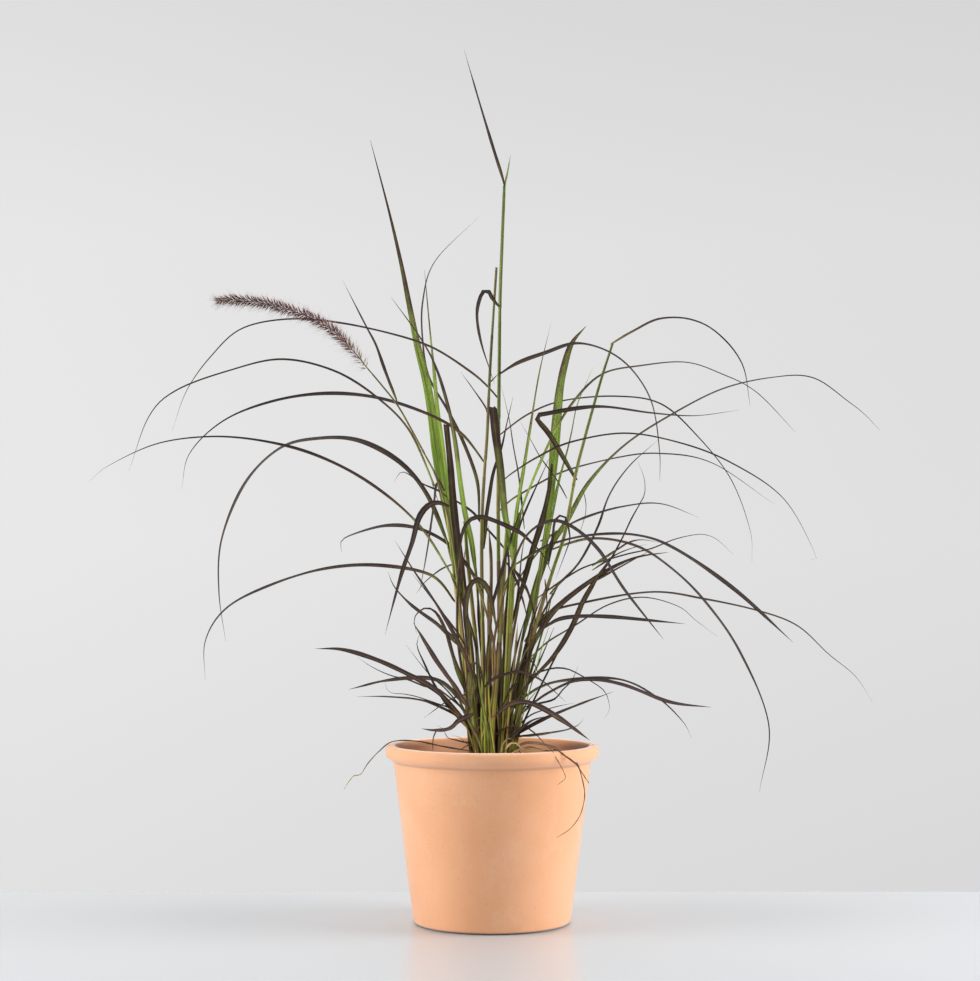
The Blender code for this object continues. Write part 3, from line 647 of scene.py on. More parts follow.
# Diameter in mm at the soil and the top, depth in cm at each, ripeness at each, shares of the length
# that have joints, then the points of the stem in cm.
STEMS = {
    "stem_tall": (4.8, 3.2, 1.2, 1.8, 0.35, 0.05, [0.05, 0.24, 0.42, 0.6, 0.79], [
        (0.6, 17.4), (0.9, 25), (0.8, 35), (0.7, 45), (0.75, 55), (0.8, 62), (0.9, 70), (1.15, 77),
        (1.4, 83.2)]),
    "stem_cut": (4.6, 2.6, 0.0, 0.3, 0.3, 0.3, [0.06, 0.3, 0.615, 0.76, 0.93], [
        (-0.8, 17.4), (-0.9, 27), (-1.15, 38), (-1.15, 45), (-0.9, 50), (-0.55, 55), (-0.3, 61), (0.05, 67),
        (0.5, 73.9)]),
    "stem_right": (4.8, 2.7, -0.8, 0.5, 0.3, 0.05, [0.08, 0.3, 0.52, 0.66], [
        (2.3, 17.4), (3.2, 25), (4.9, 33), (6.9, 39.5), (8.2, 43.5), (9.4, 50), (10.4, 54), (11.3, 57.3),
        (12.5, 61.5), (13.7, 65.2)]),
    "stem_left": (5.0, 5.0, 0.4, 0.6, 0.15, 0.0, [0.08, 0.5, 0.82], [
        (-2.2, 17.4), (-2.9, 25), (-3.5, 32), (-4.1, 38), (-4.6, 42.5), (-5.1, 46.5)]),
    "stem_centre": (6.4, 4.6, -2.2, -1.6, 0.30, 0.15, [0.2, 0.545], [
        (-0.1, 17.4), (0.1, 22), (0.5, 27), (0.9, 32.5), (1.15, 37), (1.45, 41), (1.8, 45)]),
    "stem_green": (4.6, 4.2, -1.2, -0.8, 0.0, 0.0, [0.1, 0.6], [
        (1.3, 17.4), (1.6, 24), (1.85, 28), (2.1, 33), (2.35, 38), (2.7, 43), (3.0, 46)]),
    "stem_inner_left": (4.6, 4.0, 1.6, 1.4, 0.35, 0.1, [0.1, 0.55], [
        (-1.3, 17.4), (-1.4, 24), (-1.7, 30), (-2.3, 36), (-2.8, 41), (-3.1, 45)]),
    "stem_inner_right": (4.8, 4.0, 1.2, 1.4, 0.35, 0.2, [0.12, 0.5], [
        (2.0, 17.4), (2.9, 24), (4.0, 30), (4.8, 35), (5.5, 40), (6.2, 44.5)]),
    "stem_back": (4.0, 3.4, 2.8, 2.6, 0.4, 0.45, [0.1, 0.6], [
        (0.0, 17.4), (-0.2, 25), (-0.2, 33), (-0.1, 40), (-0.4, 44.5)]),
    "flower_stalk": (3.8, 1.6, -1.4, 0.0, 0.3, 0.25, [0.1, 0.45, 0.76], [
        (-1.6, 17.4), (-2.6, 25), (-3.3, 32), (-4.0, 39), (-4.9, 45), (-6.2, 49.7), (-7.6, 52.5),
        (-9.1, 55.3), (-10.7, 58.1), (-12.5, 60.4), (-14.1, 62.3)]),
}

FREE_TOPS = ("stem_back",)  # stems that end in a rolled leaf rather than inside another leaf

for seed, (node, stem) in enumerate(STEMS.items()):
    bottom, top, root_depth, tip_depth, root_ripe, tip_ripe, joints, points = stem
    rough_path = path_in_depth(points, root_depth, tip_depth, 40)
    rows, radii, ripe = sheathed(length_along(rough_path)[-1], bottom, top, joints, seed)
    path = path_in_depth(points, root_depth, tip_depth, rows)
    ripe = ripe + np.linspace(root_ripe, tip_ripe, rows + 1)
    if node in FREE_TOPS:
        radii = radii * closing(rows)
    make_piece(node + "_sheathed", [tube_part(path, radii, 14, ripe)], sheath, [node])


# ---------------------------------------------------------------------------------------------
# Young shoots. Short stems and rolled leaves that crowd the crown between the tall stems and carry
# the roots of the leaves. They are round below and end inside a leaf's sheath.

# Diameter in mm at the soil and the top, depth in cm at each, ripeness at each, then points in cm.
SHOOTS = [
    (3.8, 3.2, -1.7, -1.2, 0.05, 0.0, [(-1.0, 17.0), (-1.15, 22), (-1.05, 27), (-1.1, 31), (-1.2, 35.6)]),
    (3.2, 2.6, -0.7, -0.5, 0.3, 0.15, [(-0.5, 17.0), (-0.55, 22), (-0.45, 27), (-0.4, 32), (-0.5, 38)]),
    (3.4, 2.8, 0.6, -0.8, 0.6, 0.7, [(-1.8, 17.0), (-2.3, 24), (-2.8, 30), (-3.1, 35), (-3.35, 40)]),
    (3.0, 2.4, 0.4, 0.0, 0.8, 0.9, [(0.7, 17.0), (1.0, 23), (1.35, 29), (1.6, 35), (1.9, 40), (1.5, 44)]),
    (3.0, 2.6, -2.1, -2.4, 0.1, 0.0, [(0.9, 17.0), (1.2, 22), (1.5, 28), (1.8, 34), (2.25, 41)]),
    (2.8, 2.0, -2.0, -2.6, 0.45, 0.6, [(1.7, 17.0), (2.3, 20.3), (3.1, 24.2), (3.8, 28.0), (4.5, 33.5)]),
    (3.0, 2.2, -2.5, -2.2, 0.35, 0.3, [(1.4, 17.0), (1.65, 20), (1.95, 24), (2.4, 28), (2.9, 33.5)]),
    (3.4, 2.6, -2.6, -2.8, 0.2, 0.05, [(-0.75, 17.0), (-0.8, 20), (-0.7, 23.5), (-0.75, 28)]),
    (3.4, 2.8, 2.4, 4.0, 0.3, 0.5, [(0.9, 17.0), (1.3, 24), (1.7, 31), (2.0, 37)]),
    (3.0, 2.2, -2.7, -2.4, 0.15, 0.2, [(-1.6, 17.0), (-1.9, 20), (-2.2, 23.5), (-2.5, 28.5)]),
    (2.6, 2.0, -3.0, -2.9, 0.3, 0.1, [(0.35, 17.0), (0.2, 19.5), (-0.2, 22.5), (-0.45, 27)]),
    (2.8, 2.0, -1.2, 0.4, 0.2, 0.1, [(2.1, 17.0), (2.8, 21), (3.6, 25), (4.4, 30), (5.0, 36)]),
    (4.5, 3.5, 0.8, 1.0, 0.95, 1.0, [(-1.3, 17.0), (-1.2, 20), (-1.5, 26)]),
    (4.5, 3.5, 1.2, 1.0, 1.0, 0.9, [(-0.4, 17.0), (-0.3, 21), (-0.1, 27)]),
    (4.5, 3.5, 0.6, 0.8, 0.9, 1.0, [(0.5, 17.0), (0.55, 20), (0.75, 28)]),
    (4.5, 3.0, 1.4, 1.6, 1.0, 0.9, [(1.3, 17.0), (1.5, 21), (1.7, 26)]),
    (4.0, 3.0, 0.9, 1.2, 0.9, 1.0, [(1.9, 17.0), (2.3, 20), (2.9, 25)]),
    (4.0, 3.0, 1.5, 1.2, 0.9, 1.0, [(-1.9, 17.0), (-2.0, 20), (-2.3, 25)]),
    (4.5, 3.0, 2.2, 2.6, 1.0, 0.9, [(0.1, 17.0), (0.3, 20), (0.35, 25)]),
]


SHOOT_LENGTH = 20 * CM  # taken for every shoot and sheath, to space the rings of its tube


def shoot_part(seed, shoot):
    """A shoot as a sheathed tube with one joint, in a ripeness that runs from the soil to its top."""
    bottom, top, root_depth, tip_depth, root_ripe, tip_ripe, points = shoot
    rows, radii, ripe = sheathed(SHOOT_LENGTH, bottom, top, [0.25], 50 + seed)
    path = path_in_depth(points, root_depth, tip_depth, rows)
    return tube_part(path, radii * closing(rows), 12, ripe + np.linspace(root_ripe, tip_ripe, rows + 1))


make_piece("young_shoots", [shoot_part(seed, shoot) for seed, shoot in enumerate(SHOOTS)], sheath)


# ---------------------------------------------------------------------------------------------
# Leaves. Long flat blades, folded a little along the midrib, which leave the stem at a joint and
# arch over under their own weight. They are green at the root and ripen to a dark purple brown.

def on_a_stem(x, z, aside=0.45, above=0.5):
    """Whether a point of the front elevation is on one of the stems, within so many cm of it."""
    for *_, points in STEMS.values():
        stem_x, stem_z = np.array(points).T
        if z < stem_z[-1] + above and abs(x - np.interp(z, stem_z, stem_x)) < aside:
            return True
    return False


def setting_out(points):
    """The direction in which a leaf sets out from its root, in the front elevation."""
    (x, z), (next_x, next_z) = points[:2]
    length = math.hypot(next_x - x, next_z - z)
    return (next_x - x) / length, (next_z - z) / length


def has_own_sheath(points, highest=46, least_rise=0.3):
    """Whether a leaf stands up from the crown in a sheath of its own: its root is on no stem and below
    the highest place in cm, and it sets out upwards."""
    x, z = points[0]
    return not on_a_stem(x, z) and z < highest and setting_out(points)[1] > least_rise


def rooted(points):
    """The path with a stretch before its root, hidden in the sheath or the stem that it comes from."""
    x, z = points[0]
    forward = setting_out(points)
    run = 1.4 if has_own_sheath(points) else 0.15  # cm
    return [(x - forward[0] * run, z - forward[1] * run), *points]


def own_sheath(points, depth, width, ripe, seed):
    """The tube of a leaf's sheath, from the crown up to where its blade opens and bends away.

    It rises from the crown, bows out half way, and comes to the leaf's root in the direction in which
    the leaf sets out. A low leaf's sheath goes straight to it. Lengths are in cm, diameters in mm."""
    rooting = 17.0  # height at which stems are rooted, below the surface of the soil
    crown_half = 2.2  # half the width of the crown
    random = np.random.default_rng(3000 + seed)
    x, z = points[0]
    forward = setting_out(points)
    crown_x = crown_half * math.tanh(x / 4) + random.uniform(-0.35, 0.35)
    bend = 0.35 * math.hypot(x - crown_x, z - rooting)
    middle = ((x - forward[0] * bend + 0.55 * x + 0.45 * crown_x) / 2,
              (z - forward[1] * bend + 0.55 * z + 7.6) / 2)
    low = (crown_x + 0.2 * (middle[0] - crown_x), rooting + 0.35 * (middle[1] - rooting))
    route = [(crown_x, rooting), low, middle, (x, z), (x + 0.5 * forward[0], z + 0.5 * forward[1])]
    top = np.clip(0.38 * np.max(width[1:-1] if np.ndim(width) else width), 1.8, 3.4)
    bottom = top + random.uniform(0.2, 1.0)
    rows, radii, ripeness = sheathed(SHOOT_LENGTH, bottom, top, [random.uniform(0.15, 0.5)], seed)
    crown_depth = np.clip(0.8 * depth + random.uniform(-0.5, 0.5), -2.3, 2.3)
    shade = 0.2 * ripe + random.choice([0.0, 0.15, 0.3, 0.6, 0.75])
    path = path_in_depth(route if z > 21 else route[::4], crown_depth, depth, rows)
    ripeness = ripeness + np.linspace(shade, 0.5 * shade + 0.45 * ripe, rows + 1)
    return tube_part(path, radii * np.maximum(closing(rows), 0.45), 10, ripeness)


def half_widths(width, share, cut, phase):
    """Half the blade's width along it, with a slow wave of a twenty-fifth of it and a narrowed root.

    One width tapers to nought as the share of the length to the power 2.4, unless the blade is cut
    off, and several widths are spread evenly from root to tip."""
    if np.ndim(width):
        half = np.interp(share, np.linspace(0, 1, len(width)), width) * MM / 2
        half *= 0.4 + 0.6 * np.minimum(share / 0.08, 1.0)
    else:
        taper = np.ones(len(share)) if cut else 1.0 - share**2.4
        half = width * MM / 2 * (0.4 + 0.6 * np.minimum(share / 0.12, 1.0)) * taper
    return np.maximum(half * (1 + 0.04 * np.sin(2 * np.pi * 3.7 * share + phase)), 0.13 * MM)


def blade_rise(round_way, below, share, half, fold):
    """Height of the section's corners above the path, for every row of the blade.

    The middle sinks in a V whose depth is the fold's share of the half width, deepest at the root. The
    underside is lower by a body that thins to the margins, and by a bell-shaped rib at the middle."""
    depth = (fold * (1.0 + 1.4 * np.exp(-share / 0.06)) * (1 - 0.6 * share))[:, None] * half[:, None]
    sink = depth * (np.sqrt(round_way**2 + 0.01) - 0.6)
    stout = np.minimum(half / (1.5 * MM), 1.0)[:, None]
    body = 0.32 * MM * (1 - 0.8 * round_way**2) * stout
    rib = 0.45 * MM * np.exp(-(round_way / 0.16)**2) * below * stout
    return sink - below * (body + rib) + (1 - below) * 0.03 * MM


def blade_part(points, width, turns, depths, ripe, spread=0.4, seed=0, cut=False, fold=0.3):
    """A blade: a closed section carried along its path.

    Each row runs from margin to margin over the upper face and back underneath. It turns about the
    path from the first angle to the last, where 0 faces the front and 90 is edge on, and sways by a few
    degrees in two waves. Ripeness grows smoothly from the first value to the last over the spread, and
    is a little more at the margins."""
    random = np.random.default_rng(1000 + seed)
    points = rooted(points)
    rough = path_in_depth(points, *depths, 30)
    rows = int(np.clip(length_along(rough)[-1] / (7 * MM), 18, 90))
    path = path_in_depth(points, *depths, rows)
    share = np.linspace(0.0, 1.0, rows + 1)
    along, flat, behind = frame_along(path)
    side = 1.0 if points[-1][0] > points[0][0] else -1.0
    phase = random.uniform(0, 2 * np.pi, 4)
    sway = 5.0 * np.sin(2 * np.pi * 2.3 * share + phase[0]) + 3.0 * np.sin(2 * np.pi * 5.1 * share + phase[1])
    turn = np.interp(share, np.linspace(0, 1, len(turns)), turns) + sway * np.minimum(share / 0.1, 1)
    turn = np.radians(turn)
    across = flat * (side * np.cos(turn))[:, None] + behind * np.sin(turn)[:, None]
    upward = side * np.cross(along, across)
    half = half_widths(width, share, cut, phase[2])
    per_face = 9  # corners from margin to margin of the upper face, with the two margins
    upper = np.linspace(-1.0, 1.0, per_face)
    round_way = np.concatenate([upper, upper[-2:0:-1]])
    below = np.concatenate([np.zeros(per_face), np.ones(per_face - 2)])
    rise = blade_rise(round_way, below, share, half, fold)
    rows_of_points = (path[:, None, :] + across[:, None, :] * (half[:, None] * round_way)[..., None]
                      + upward[:, None, :] * rise[..., None])
    if cut:
        ragged = 1.6 * MM * np.sin(round_way * 5 + phase[3])
        rows_of_points[-1] += along[-1] * ragged[:, None]
    corners, quads, triangles = facing_out(*surface(rows_of_points, start_cap=True, end_cap=True))
    length = length_along(path)
    over = np.linspace(0.0, 1.0, per_face)
    over_and_back = np.concatenate([over, 1 + over[1:-1]])
    strip = np.stack(np.broadcast_arrays(over_and_back, (length / STRIP)[:, None]), axis=-1).reshape(-1, 2)
    start, end = spread if np.ndim(spread) else (0.0, spread)
    grown = np.clip((share - start) / (end - start), 0, 1)
    grown = ripe[0] + (ripe[1] - ripe[0]) * grown**2 * (3 - 2 * grown)
    colour = (grown[:, None] + 0.28 * (round_way**2 - 0.35) - 0.08 * below).ravel()
    strip = np.vstack([strip, strip[[0, -1]]])
    return corners, quads, triangles, strip, np.concatenate([colour, colour[[0, -1]]])


BLADE_STOPS = [(0.0, (0.37, 0.55, 0.085)), (0.2, (0.29, 0.38, 0.080)), (0.36, (0.18, 0.20, 0.055)),
               (0.52, (0.105, 0.085, 0.035)), (0.68, (0.070, 0.035, 0.023)), (0.84, (0.047, 0.023, 0.020)),
               (1.0, (0.030, 0.022, 0.023))]
# The blades are painted lighter low in front and darker inside the clump.
blade = plant_material("grass_blade", BLADE_STOPS, (0.17, 0.17, 0.10), 0.25, 0.42, 9.0, 0.10 * MM,
                       two_tone=0.24, pale_base_and_front_light=(2.1, 2.0, 2.05))

# Width in mm, turn in degrees, depth in cm and ripeness, each of the last three at the root and the
# tip, the share of the length over which it ripens, then the points of the leaf in cm.
LEAVES = {
    "leaf_left_tall": (
        (7, 9, 11.5, 12.5, 11.4, 9.3, 7.8, 6.6, 4.9, 3.2, 2.1, 0.3),
        (10, 30), (0.3, 18), (0.0, 0.9), (0.34, 0.84), [
            (-4.2, 40.5), (-4.7, 44), (-5.3, 47.2), (-6.3, 53), (-7.3, 60), (-8.5, 65), (-9.5, 70),
            (-10.4, 74.5), (-11.8, 80.5), (-13.9, 88.5)]),
    "leaf_left_green": ((5, 6, 6.5, 6, 5, 3.4, 2.2, 1.6, 0.3), (20, 40), (2.8, 12), (0.0, 0.6), (0.3, 1), [
        (-5.0, 47.5), (-5.6, 53), (-6.2, 57.5), (-6.6, 62), (-7.1, 67), (-7.7, 73.6)]),
    "leaf_left_slim": (
        (4, 6, 6.6, 6.6, 6, 5, 4, 3, 2, 0.3), (20, 50), (2.0, -14), (0.05, 0.9), (0.2, 0.75), [
            (-1.9, 39.5), (-2.4, 43), (-3.1, 46), (-3.7, 50), (-4.2, 54), (-5.0, 58), (-6.4, 62.5),
            (-8.2, 65.9), (-11.5, 70.5)]),
    "leaf_left_hooked": (5, (30, 70), (0.9, 22), (0.55, 1.0), 0.5, [
        (-1.5, 45.5), (-1.7, 49.5), (-3.2, 53.8), (-5.0, 57.5), (-7.2, 61.4), (-7.9, 65.5), (-7.9, 70),
        (-6.5, 74.6), (-1.6, 79.6)]),
    "leaf_flag": (5, (40, 60), (-0.4, 9), (0.5, 1.0), 0.4, [
        (-10.9, 58.8), (-12.1, 61.9), (-13.2, 65), (-14.4, 67.3), (-17, 72.4)]),
    "leaf_left_high_arch": (6, (110, 115), (1.6, 17), (0.6, 1.0), 0.3, [
        (0.75, 58.9), (-0.6, 60.4), (-2.5, 62), (-6.5, 64.6), (-11, 66.2), (-17, 67.5), (-23, 68),
        (-28.5, 66.9), (-32, 63.7), (-34.7, 59.8), (-36.3, 55.3)]),
    "leaf_left_second_arch": (6, (110, 115), (-0.2, -15), (0.3, 0.95), 0.35, [
        (-6.6, 49.2), (-9.4, 55.3), (-13, 59), (-18, 62.1), (-24, 63.4), (-30, 62.1), (-36, 59.8),
        (-39, 56.8), (-41.2, 50.6)]),
    "leaf_left_third_arch": (7, (110, 130, 130, 115), (0.3, 8), (0.5, 1.0), 0.3, [
        (-0.95, 51.8), (-3.5, 54.9), (-7.2, 57.1), (-13, 59), (-19, 59.5), (-25, 58.6), (-30.5, 56.4),
        (-34.3, 52.7), (-35.2, 48.6)]),
    "leaf_left_far": (6, (110, 130, 125, 110), (0.2, -6), (0.25, 0.95), 0.4, [
        (-4.8, 39.3), (-8.5, 44.8), (-14, 49.4), (-20, 52.5), (-26, 54.1), (-32, 54.6), (-38, 53.8),
        (-43.5, 51.3), (-45.7, 49.5)]),
    "leaf_left_round_arch": ((5, 8, 8.5, 8.5, 8, 7.5, 7, 5, 3, 0.3),
        (40, 50, 62, 66, 66), (0.7, 25), (0.3, 0.95), 0.3, [
        (-5.1, 42.6), (-7.4, 48), (-10.5, 51.7), (-15, 54.1), (-19.5, 54.4), (-24, 53.3), (-28, 49.3),
        (-30.6, 43), (-30.9, 37), (-30.1, 31.4)]),
    "leaf_left_wide_arch": (7, (55, 62), (0.0, -27), (0.5, 1.0), 0.4, [
        (-4.3, 36), (-7, 38.9), (-13, 40), (-19, 39.6), (-25, 37.8), (-30, 35.2), (-32.4, 31.5),
        (-32.4, 27)]),
    "leaf_left_curl": ((4, 5, 5.5, 5.5, 6, 6.5, 6, 4, 0.3),
        (30, 40, 55, 70), (-2.6, 12), (0.5, 0.95), 0.4, [
        (-1.7, 38.1), (-2.3, 39.2), (-3.8, 41.2), (-5.5, 42.8), (-8.5, 44.2), (-12, 44.5), (-15.8, 43.5),
        (-17.1, 42.7), (-17, 41.5)]),
    "leaf_left_bent": (8, (30, 55), (-1.6, -12), (0.65, 1.0), 0.2, [
        (-5.0, 46.7), (-6.2, 47.1), (-7.3, 46.7), (-8.3, 45.3), (-9.05, 42.5), (-10.25, 39),
        (-12.1, 32.2)]),
    "leaf_left_straight": (8, (50, 60), (-1.8, -12), (0.5, 0.95), 0.5, [
        (-1.7, 24.5), (-2.5, 28.3), (-4.2, 32), (-6.5, 35.9), (-8.8, 39.3), (-11, 42.8)]),
    "leaf_left_mid": (8, (45, 60), (1.0, 11), (0.45, 0.95), 0.5, [
        (-3.9, 31.2), (-6.3, 33.4), (-9, 35.4), (-11, 37.5), (-11.8, 39.3)]),
    "leaf_left_loop": (8, (45, 62), (-1.6, -7), (0.4, 0.85), 0.6, [
        (-2.9, 25.6), (-4.2, 29), (-5.3, 32.7), (-6.5, 34.8), (-7.8, 35.1), (-8.8, 34), (-8.5, 32.3)]),
    "leaf_left_mauve": ((5, 7, 7.5, 8, 8, 7, 5, 0.3), (50, 52), (-2.6, -19), (0.75, 0.95), 0.3, [
        (-2.6, 23.8), (-4.5, 26.7), (-6.4, 29.4), (-8.9, 33.5)]),
    "leaf_left_low_broad": ((5, 7, 8, 8.5, 8.5, 8, 7.5, 5, 0.3), (50, 50), (-2.8, -12), (0.65, 0.95), 0.3, [
        (-2.4, 21.6), (-6, 25.6), (-9.5, 27.7), (-13.5, 29.5), (-17, 30.5), (-20, 30.6)]),
    "leaf_left_low_slim": ((5, 7, 7.5, 7.5, 7, 5.5, 4, 0.3), (45, 55), (1.2, 13), (0.4, 0.85), 0.5, [
        (-3.2, 24.4), (-5.5, 26.7), (-8, 27.3), (-12, 27), (-16.2, 26)]),
    "leaf_left_low_mauve": ((6, 8, 8, 7, 6, 5, 3.5, 0.3), (42, 52), (-3.4, -8), (0.75, 0.95), 0.3, [
        (-2.2, 23.2), (-3.7, 22.5), (-4.8, 21.6), (-6.5, 21.4), (-8, 21.6)]),
    "leaf_centre_broad": (
        (3.5, 5, 6, 8, 10.5, 11.8, 11.5, 11, 9.5, 6.5, 0.4), (10, 25), (2.6, 7), (0.08, 0.6), (0.45, 1), [
            (5.3, 39.0), (5.9, 42.5), (6.4, 45.8), (6.9, 51), (7.3, 56), (7.7, 60), (8.3, 63), (9.1, 65.3),
            (10.7, 67.2)]),
    "leaf_centre_droop": (6, (30, 70), (-0.4, -4), (0.7, 1.0), 0.2, [
        (0.7, 69.5), (0.1, 70.2), (-0.5, 71.2), (-1.2, 70.8), (-1.7, 68.5), (-1.2, 65.2), (0.3, 60.5)]),
    "leaf_top": (5, (40, 60), (1.8, -3), (0.7, 1.0), 0.3, [
        (1.4, 82.9), (1.25, 83.9), (0.2, 87.3), (-1.3, 92.3), (-3.2, 98.9)]),
    "leaf_centre_arch": ((1.5, 2.6, 5, 6.2, 6.4, 6.2, 5, 2.6, 1.8, 0.4),
        (32, 38), (-2.6, -5), (0.75, 0.9), 0.4, [
        (-3.6, 42.0), (-3.3, 43.9), (-2.4, 45.2), (-1.1, 45.45), (0.5, 44.95), (2.0, 44.3), (3.2, 43.7),
        (4.5, 42.5), (5.8, 41.1), (6.8, 39)]),
    "leaf_right_top_arch": ((5, 7.5, 7, 5, 4, 3.6, 3.2, 2.6, 0.3),
        (50, 60, 80, 110), (1.8, -16), (0.75, 1.0), 0.3, [
        (0.85, 61.7), (3, 63), (6, 64.1), (9.5, 65.2), (13, 64.4), (16, 62.1), (18.2, 58.3), (19, 53),
        (19, 49.5)]),
    "leaf_right_long_arch": (
        (4, 5, 5.5, 5, 4.5, 4, 3.4, 3, 2.4, 0.3), (50, 60, 110), (-1.8, 10), (0.0, 0.85), (0.15, 0.6), [
            (2.4, 41.5), (3.0, 44.5), (3.7, 47.3), (6.7, 54.3), (9.2, 58.5), (12.5, 61.7), (17, 62.7),
            (22, 63.1), (26, 61.8), (30, 59.7), (34.4, 55.1)]),
    "leaf_right_third_arch": (4.6, (105, 110), (2.4, 23), (0.6, 1.0), 0.3, [
        (0.85, 54.8), (4, 57.1), (8, 58.7), (14, 59.2), (19, 58.4), (23, 55), (27, 49.9), (29.2, 44),
        (29.4, 40.3)]),
    "leaf_right_folded": (7.5, (30, 50, 105), (0.4, -6), (0.5, 1.0), 0.4, [
        (9.5, 49.8), (6.7, 54.6), (5.1, 56.7), (6.2, 57.2), (12, 58), (18, 57.3), (23, 57), (28, 57.6)]),
    "leaf_right_low_arch": (4.6, (105, 110), (-2.6, -22), (0.5, 1.0), 0.3, [
        (1.1, 49.5), (2.3, 50.5), (5, 52.2), (9, 54), (15, 55), (21, 54), (27, 51.7), (33, 47.6),
        (36.5, 41.4), (36.1, 40.6)]),
    "leaf_right_thin_arch": (5, (105, 105), (-1.2, 27), (0.45, 1.0), 0.3, [
        (0.6, 46.0), (2.0, 47.3), (3.6, 48.3), (8, 50.6), (14, 52.2), (19, 52.7), (25, 51.6), (32, 46.9)]),
    "leaf_right_far": (
        (6, 8, 9.5, 9.5, 8, 7, 6, 5.5, 5, 4, 3, 2, 0.3), (30, 110), (2.0, 2), (0.32, 0.95), (0.3, 0.7), [
            (3.4, 31.5), (4.7, 36.6), (5.8, 40), (6.9, 42.6), (8.5, 45), (11, 49.4), (15, 53.6), (20, 56.9),
            (26, 60), (32, 61.4), (36.5, 61.3), (40.5, 58.55), (42.3, 57.1), (44.0, 55.3)]),
    "leaf_right_flag": ((6, 6, 5, 4, 3.5, 2.5, 0.3), (110, 110), (0.8, 12), (0.6, 1.0), 0.3, [
        (13.6, 65.2), (16, 66.6), (19, 68), (22.4, 68), (25.5, 66.5), (28.4, 62.9), (29.3, 58)]),
    "leaf_right_level": (5, (55, 65), (2.2, 16), (0.5, 1.0), 0.4, [
        (6.7, 43.4), (10, 45.2), (14.5, 46.6), (19, 47), (23.5, 45.4)]),
    "leaf_right_crossing": ((2.5, 4, 4.5, 5, 6.5, 6.5, 5, 3.5, 0.3),
        (48, 52, 60), (-2.2, -25), (0.55, 1.0), 0.4, [
        (1.8, 38.6), (3.8, 43.2), (6.5, 45), (9, 44.4), (12, 41.8), (15, 37.2), (19.4, 31.6)]),
    "leaf_right_dark_arch": ((5, 7, 7, 7, 8, 8, 7, 5, 0.3),
        (60, 72, 72, 58, 50, 45), (-0.4, -8), (0.5, 1.0), 0.3, [
        (2.8, 40.2), (6.5, 42.3), (11, 43.4), (16.5, 43.4), (21, 41.7), (27.5, 37.2), (34, 31.3)]),
    "leaf_right_fountain": ((4, 6.5, 6.5, 6, 5.2, 4.4, 3.6, 2.6, 0.3),
        (68, 66, 55, 58, 62), (1.6, 25), (0.3, 1.0), 0.3, [
        (5.9, 41.5), (11, 43), (16, 42.3), (20, 39.9), (24, 36), (28, 30.2), (31.2, 22), (30.1, 14.5)]),
    "leaf_right_brown": ((4, 6, 7, 8, 8, 7, 5.5, 4, 0.3), (40, 48), (-1.0, -6), (0.3, 0.8), 0.5, [
        (2.6, 24), (3.6, 28), (4.8, 31.4), (7.5, 35.3), (12, 38.8), (16, 40.8), (20, 41.5)]),
    "leaf_right_slanting": ((2, 2.5, 3.5, 6, 7.2, 7.5, 6, 4, 0.3),
        (30, 40), (-2.2, -5), (0.55, 0.82), 0.4, [
        (2.4, 24.2), (4.2, 26.8), (7, 29.8), (9, 33), (10.8, 37), (13.5, 41)]),
    "leaf_right_swaying": (6, (65, 65), (0.2, 1), (0.4, 0.9), 0.4, [
        (3.0, 27.5), (4.0, 31.5), (6.0, 34.4), (10, 35.7), (18, 37), (24, 36.2), (30, 34.9), (34.5, 33.2),
        (38, 30), (41, 27.5), (42.9, 24.6)]),
    "leaf_right_flat": ((1.8, 2, 2.4, 3.5, 6, 7.2, 7, 5, 3.5, 0.3),
        (45, 52), (-2.0, -16), (0.3, 1.0), 0.5, [
        (2.4, 26.5), (3.4, 29.5), (4.8, 31.9), (6.4, 33.3), (8.4, 34.1), (13, 34.2), (21.8, 33.4)]),
    "leaf_right_low_broad": ((5, 6, 7.5, 8, 8, 7.5, 5, 0.3), (68, 60, 52), (-1.8, -9), (0.5, 1.0), 0.3, [
        (3.2, 23.2), (6, 25.4), (10, 27.1), (14.5, 26.6), (20, 24.6), (24.7, 24)]),
    "leaf_right_low_tip": (7, (60, 60), (1.7, 14), (0.4, 0.9), 0.5, [
        (3.4, 25), (7, 26.8), (14, 27.2), (18.5, 25.2), (21.5, 22.4), (22.5, 20.5)]),
    "leaf_right_low_mauve": ((5, 7, 8, 8.5, 8.5, 7, 5, 0.3), (45, 42), (-3.2, -9), (0.75, 0.95), 0.3, [
        (0.5, 23.2), (2.2, 24.4), (4.5, 24.4), (7.5, 22.8), (11, 20.3)]),
}

# Leaves that were cut or broken off square.
CUT_LEAVES = {
    "leaf_left_broken": ((6.5, 8.5, 9, 8.2, 7, 6.5), (10, 10), (-1.2, -1.2), (0.68, 0.82), 0.5, [
        (-3.2, 37.5), (-3.7, 41), (-4.3, 46), (-4.7, 51), (-5.2, 55.9)]),
    "leaf_centre_cut": ((4, 6, 7.5, 8.5, 9.5, 9.5), (10, 10), (-2.6, -2.0), (0.1, 0.85), (0.1, 1.0), [
        (2.3, 40.5), (2.0, 43), (1.45, 45.8), (1.2, 48.5), (0.8, 52), (0.4, 55), (0.1, 57.9)]),
}

leaf_sheaths = []
for seed, (node, leaf) in enumerate((LEAVES | CUT_LEAVES).items()):
    width, turns, depths, ripe, spread, points = leaf
    if has_own_sheath(points):
        leaf_sheaths.append(own_sheath(points, depths[0], width, ripe[0], seed))
    part = blade_part(points, width, turns, depths, ripe, spread, seed, cut=node in CUT_LEAVES)
    make_piece(node + "_blade", [part], blade, [node], smooth_angle=60)
make_piece("leaf_sheaths", leaf_sheaths, sheath)


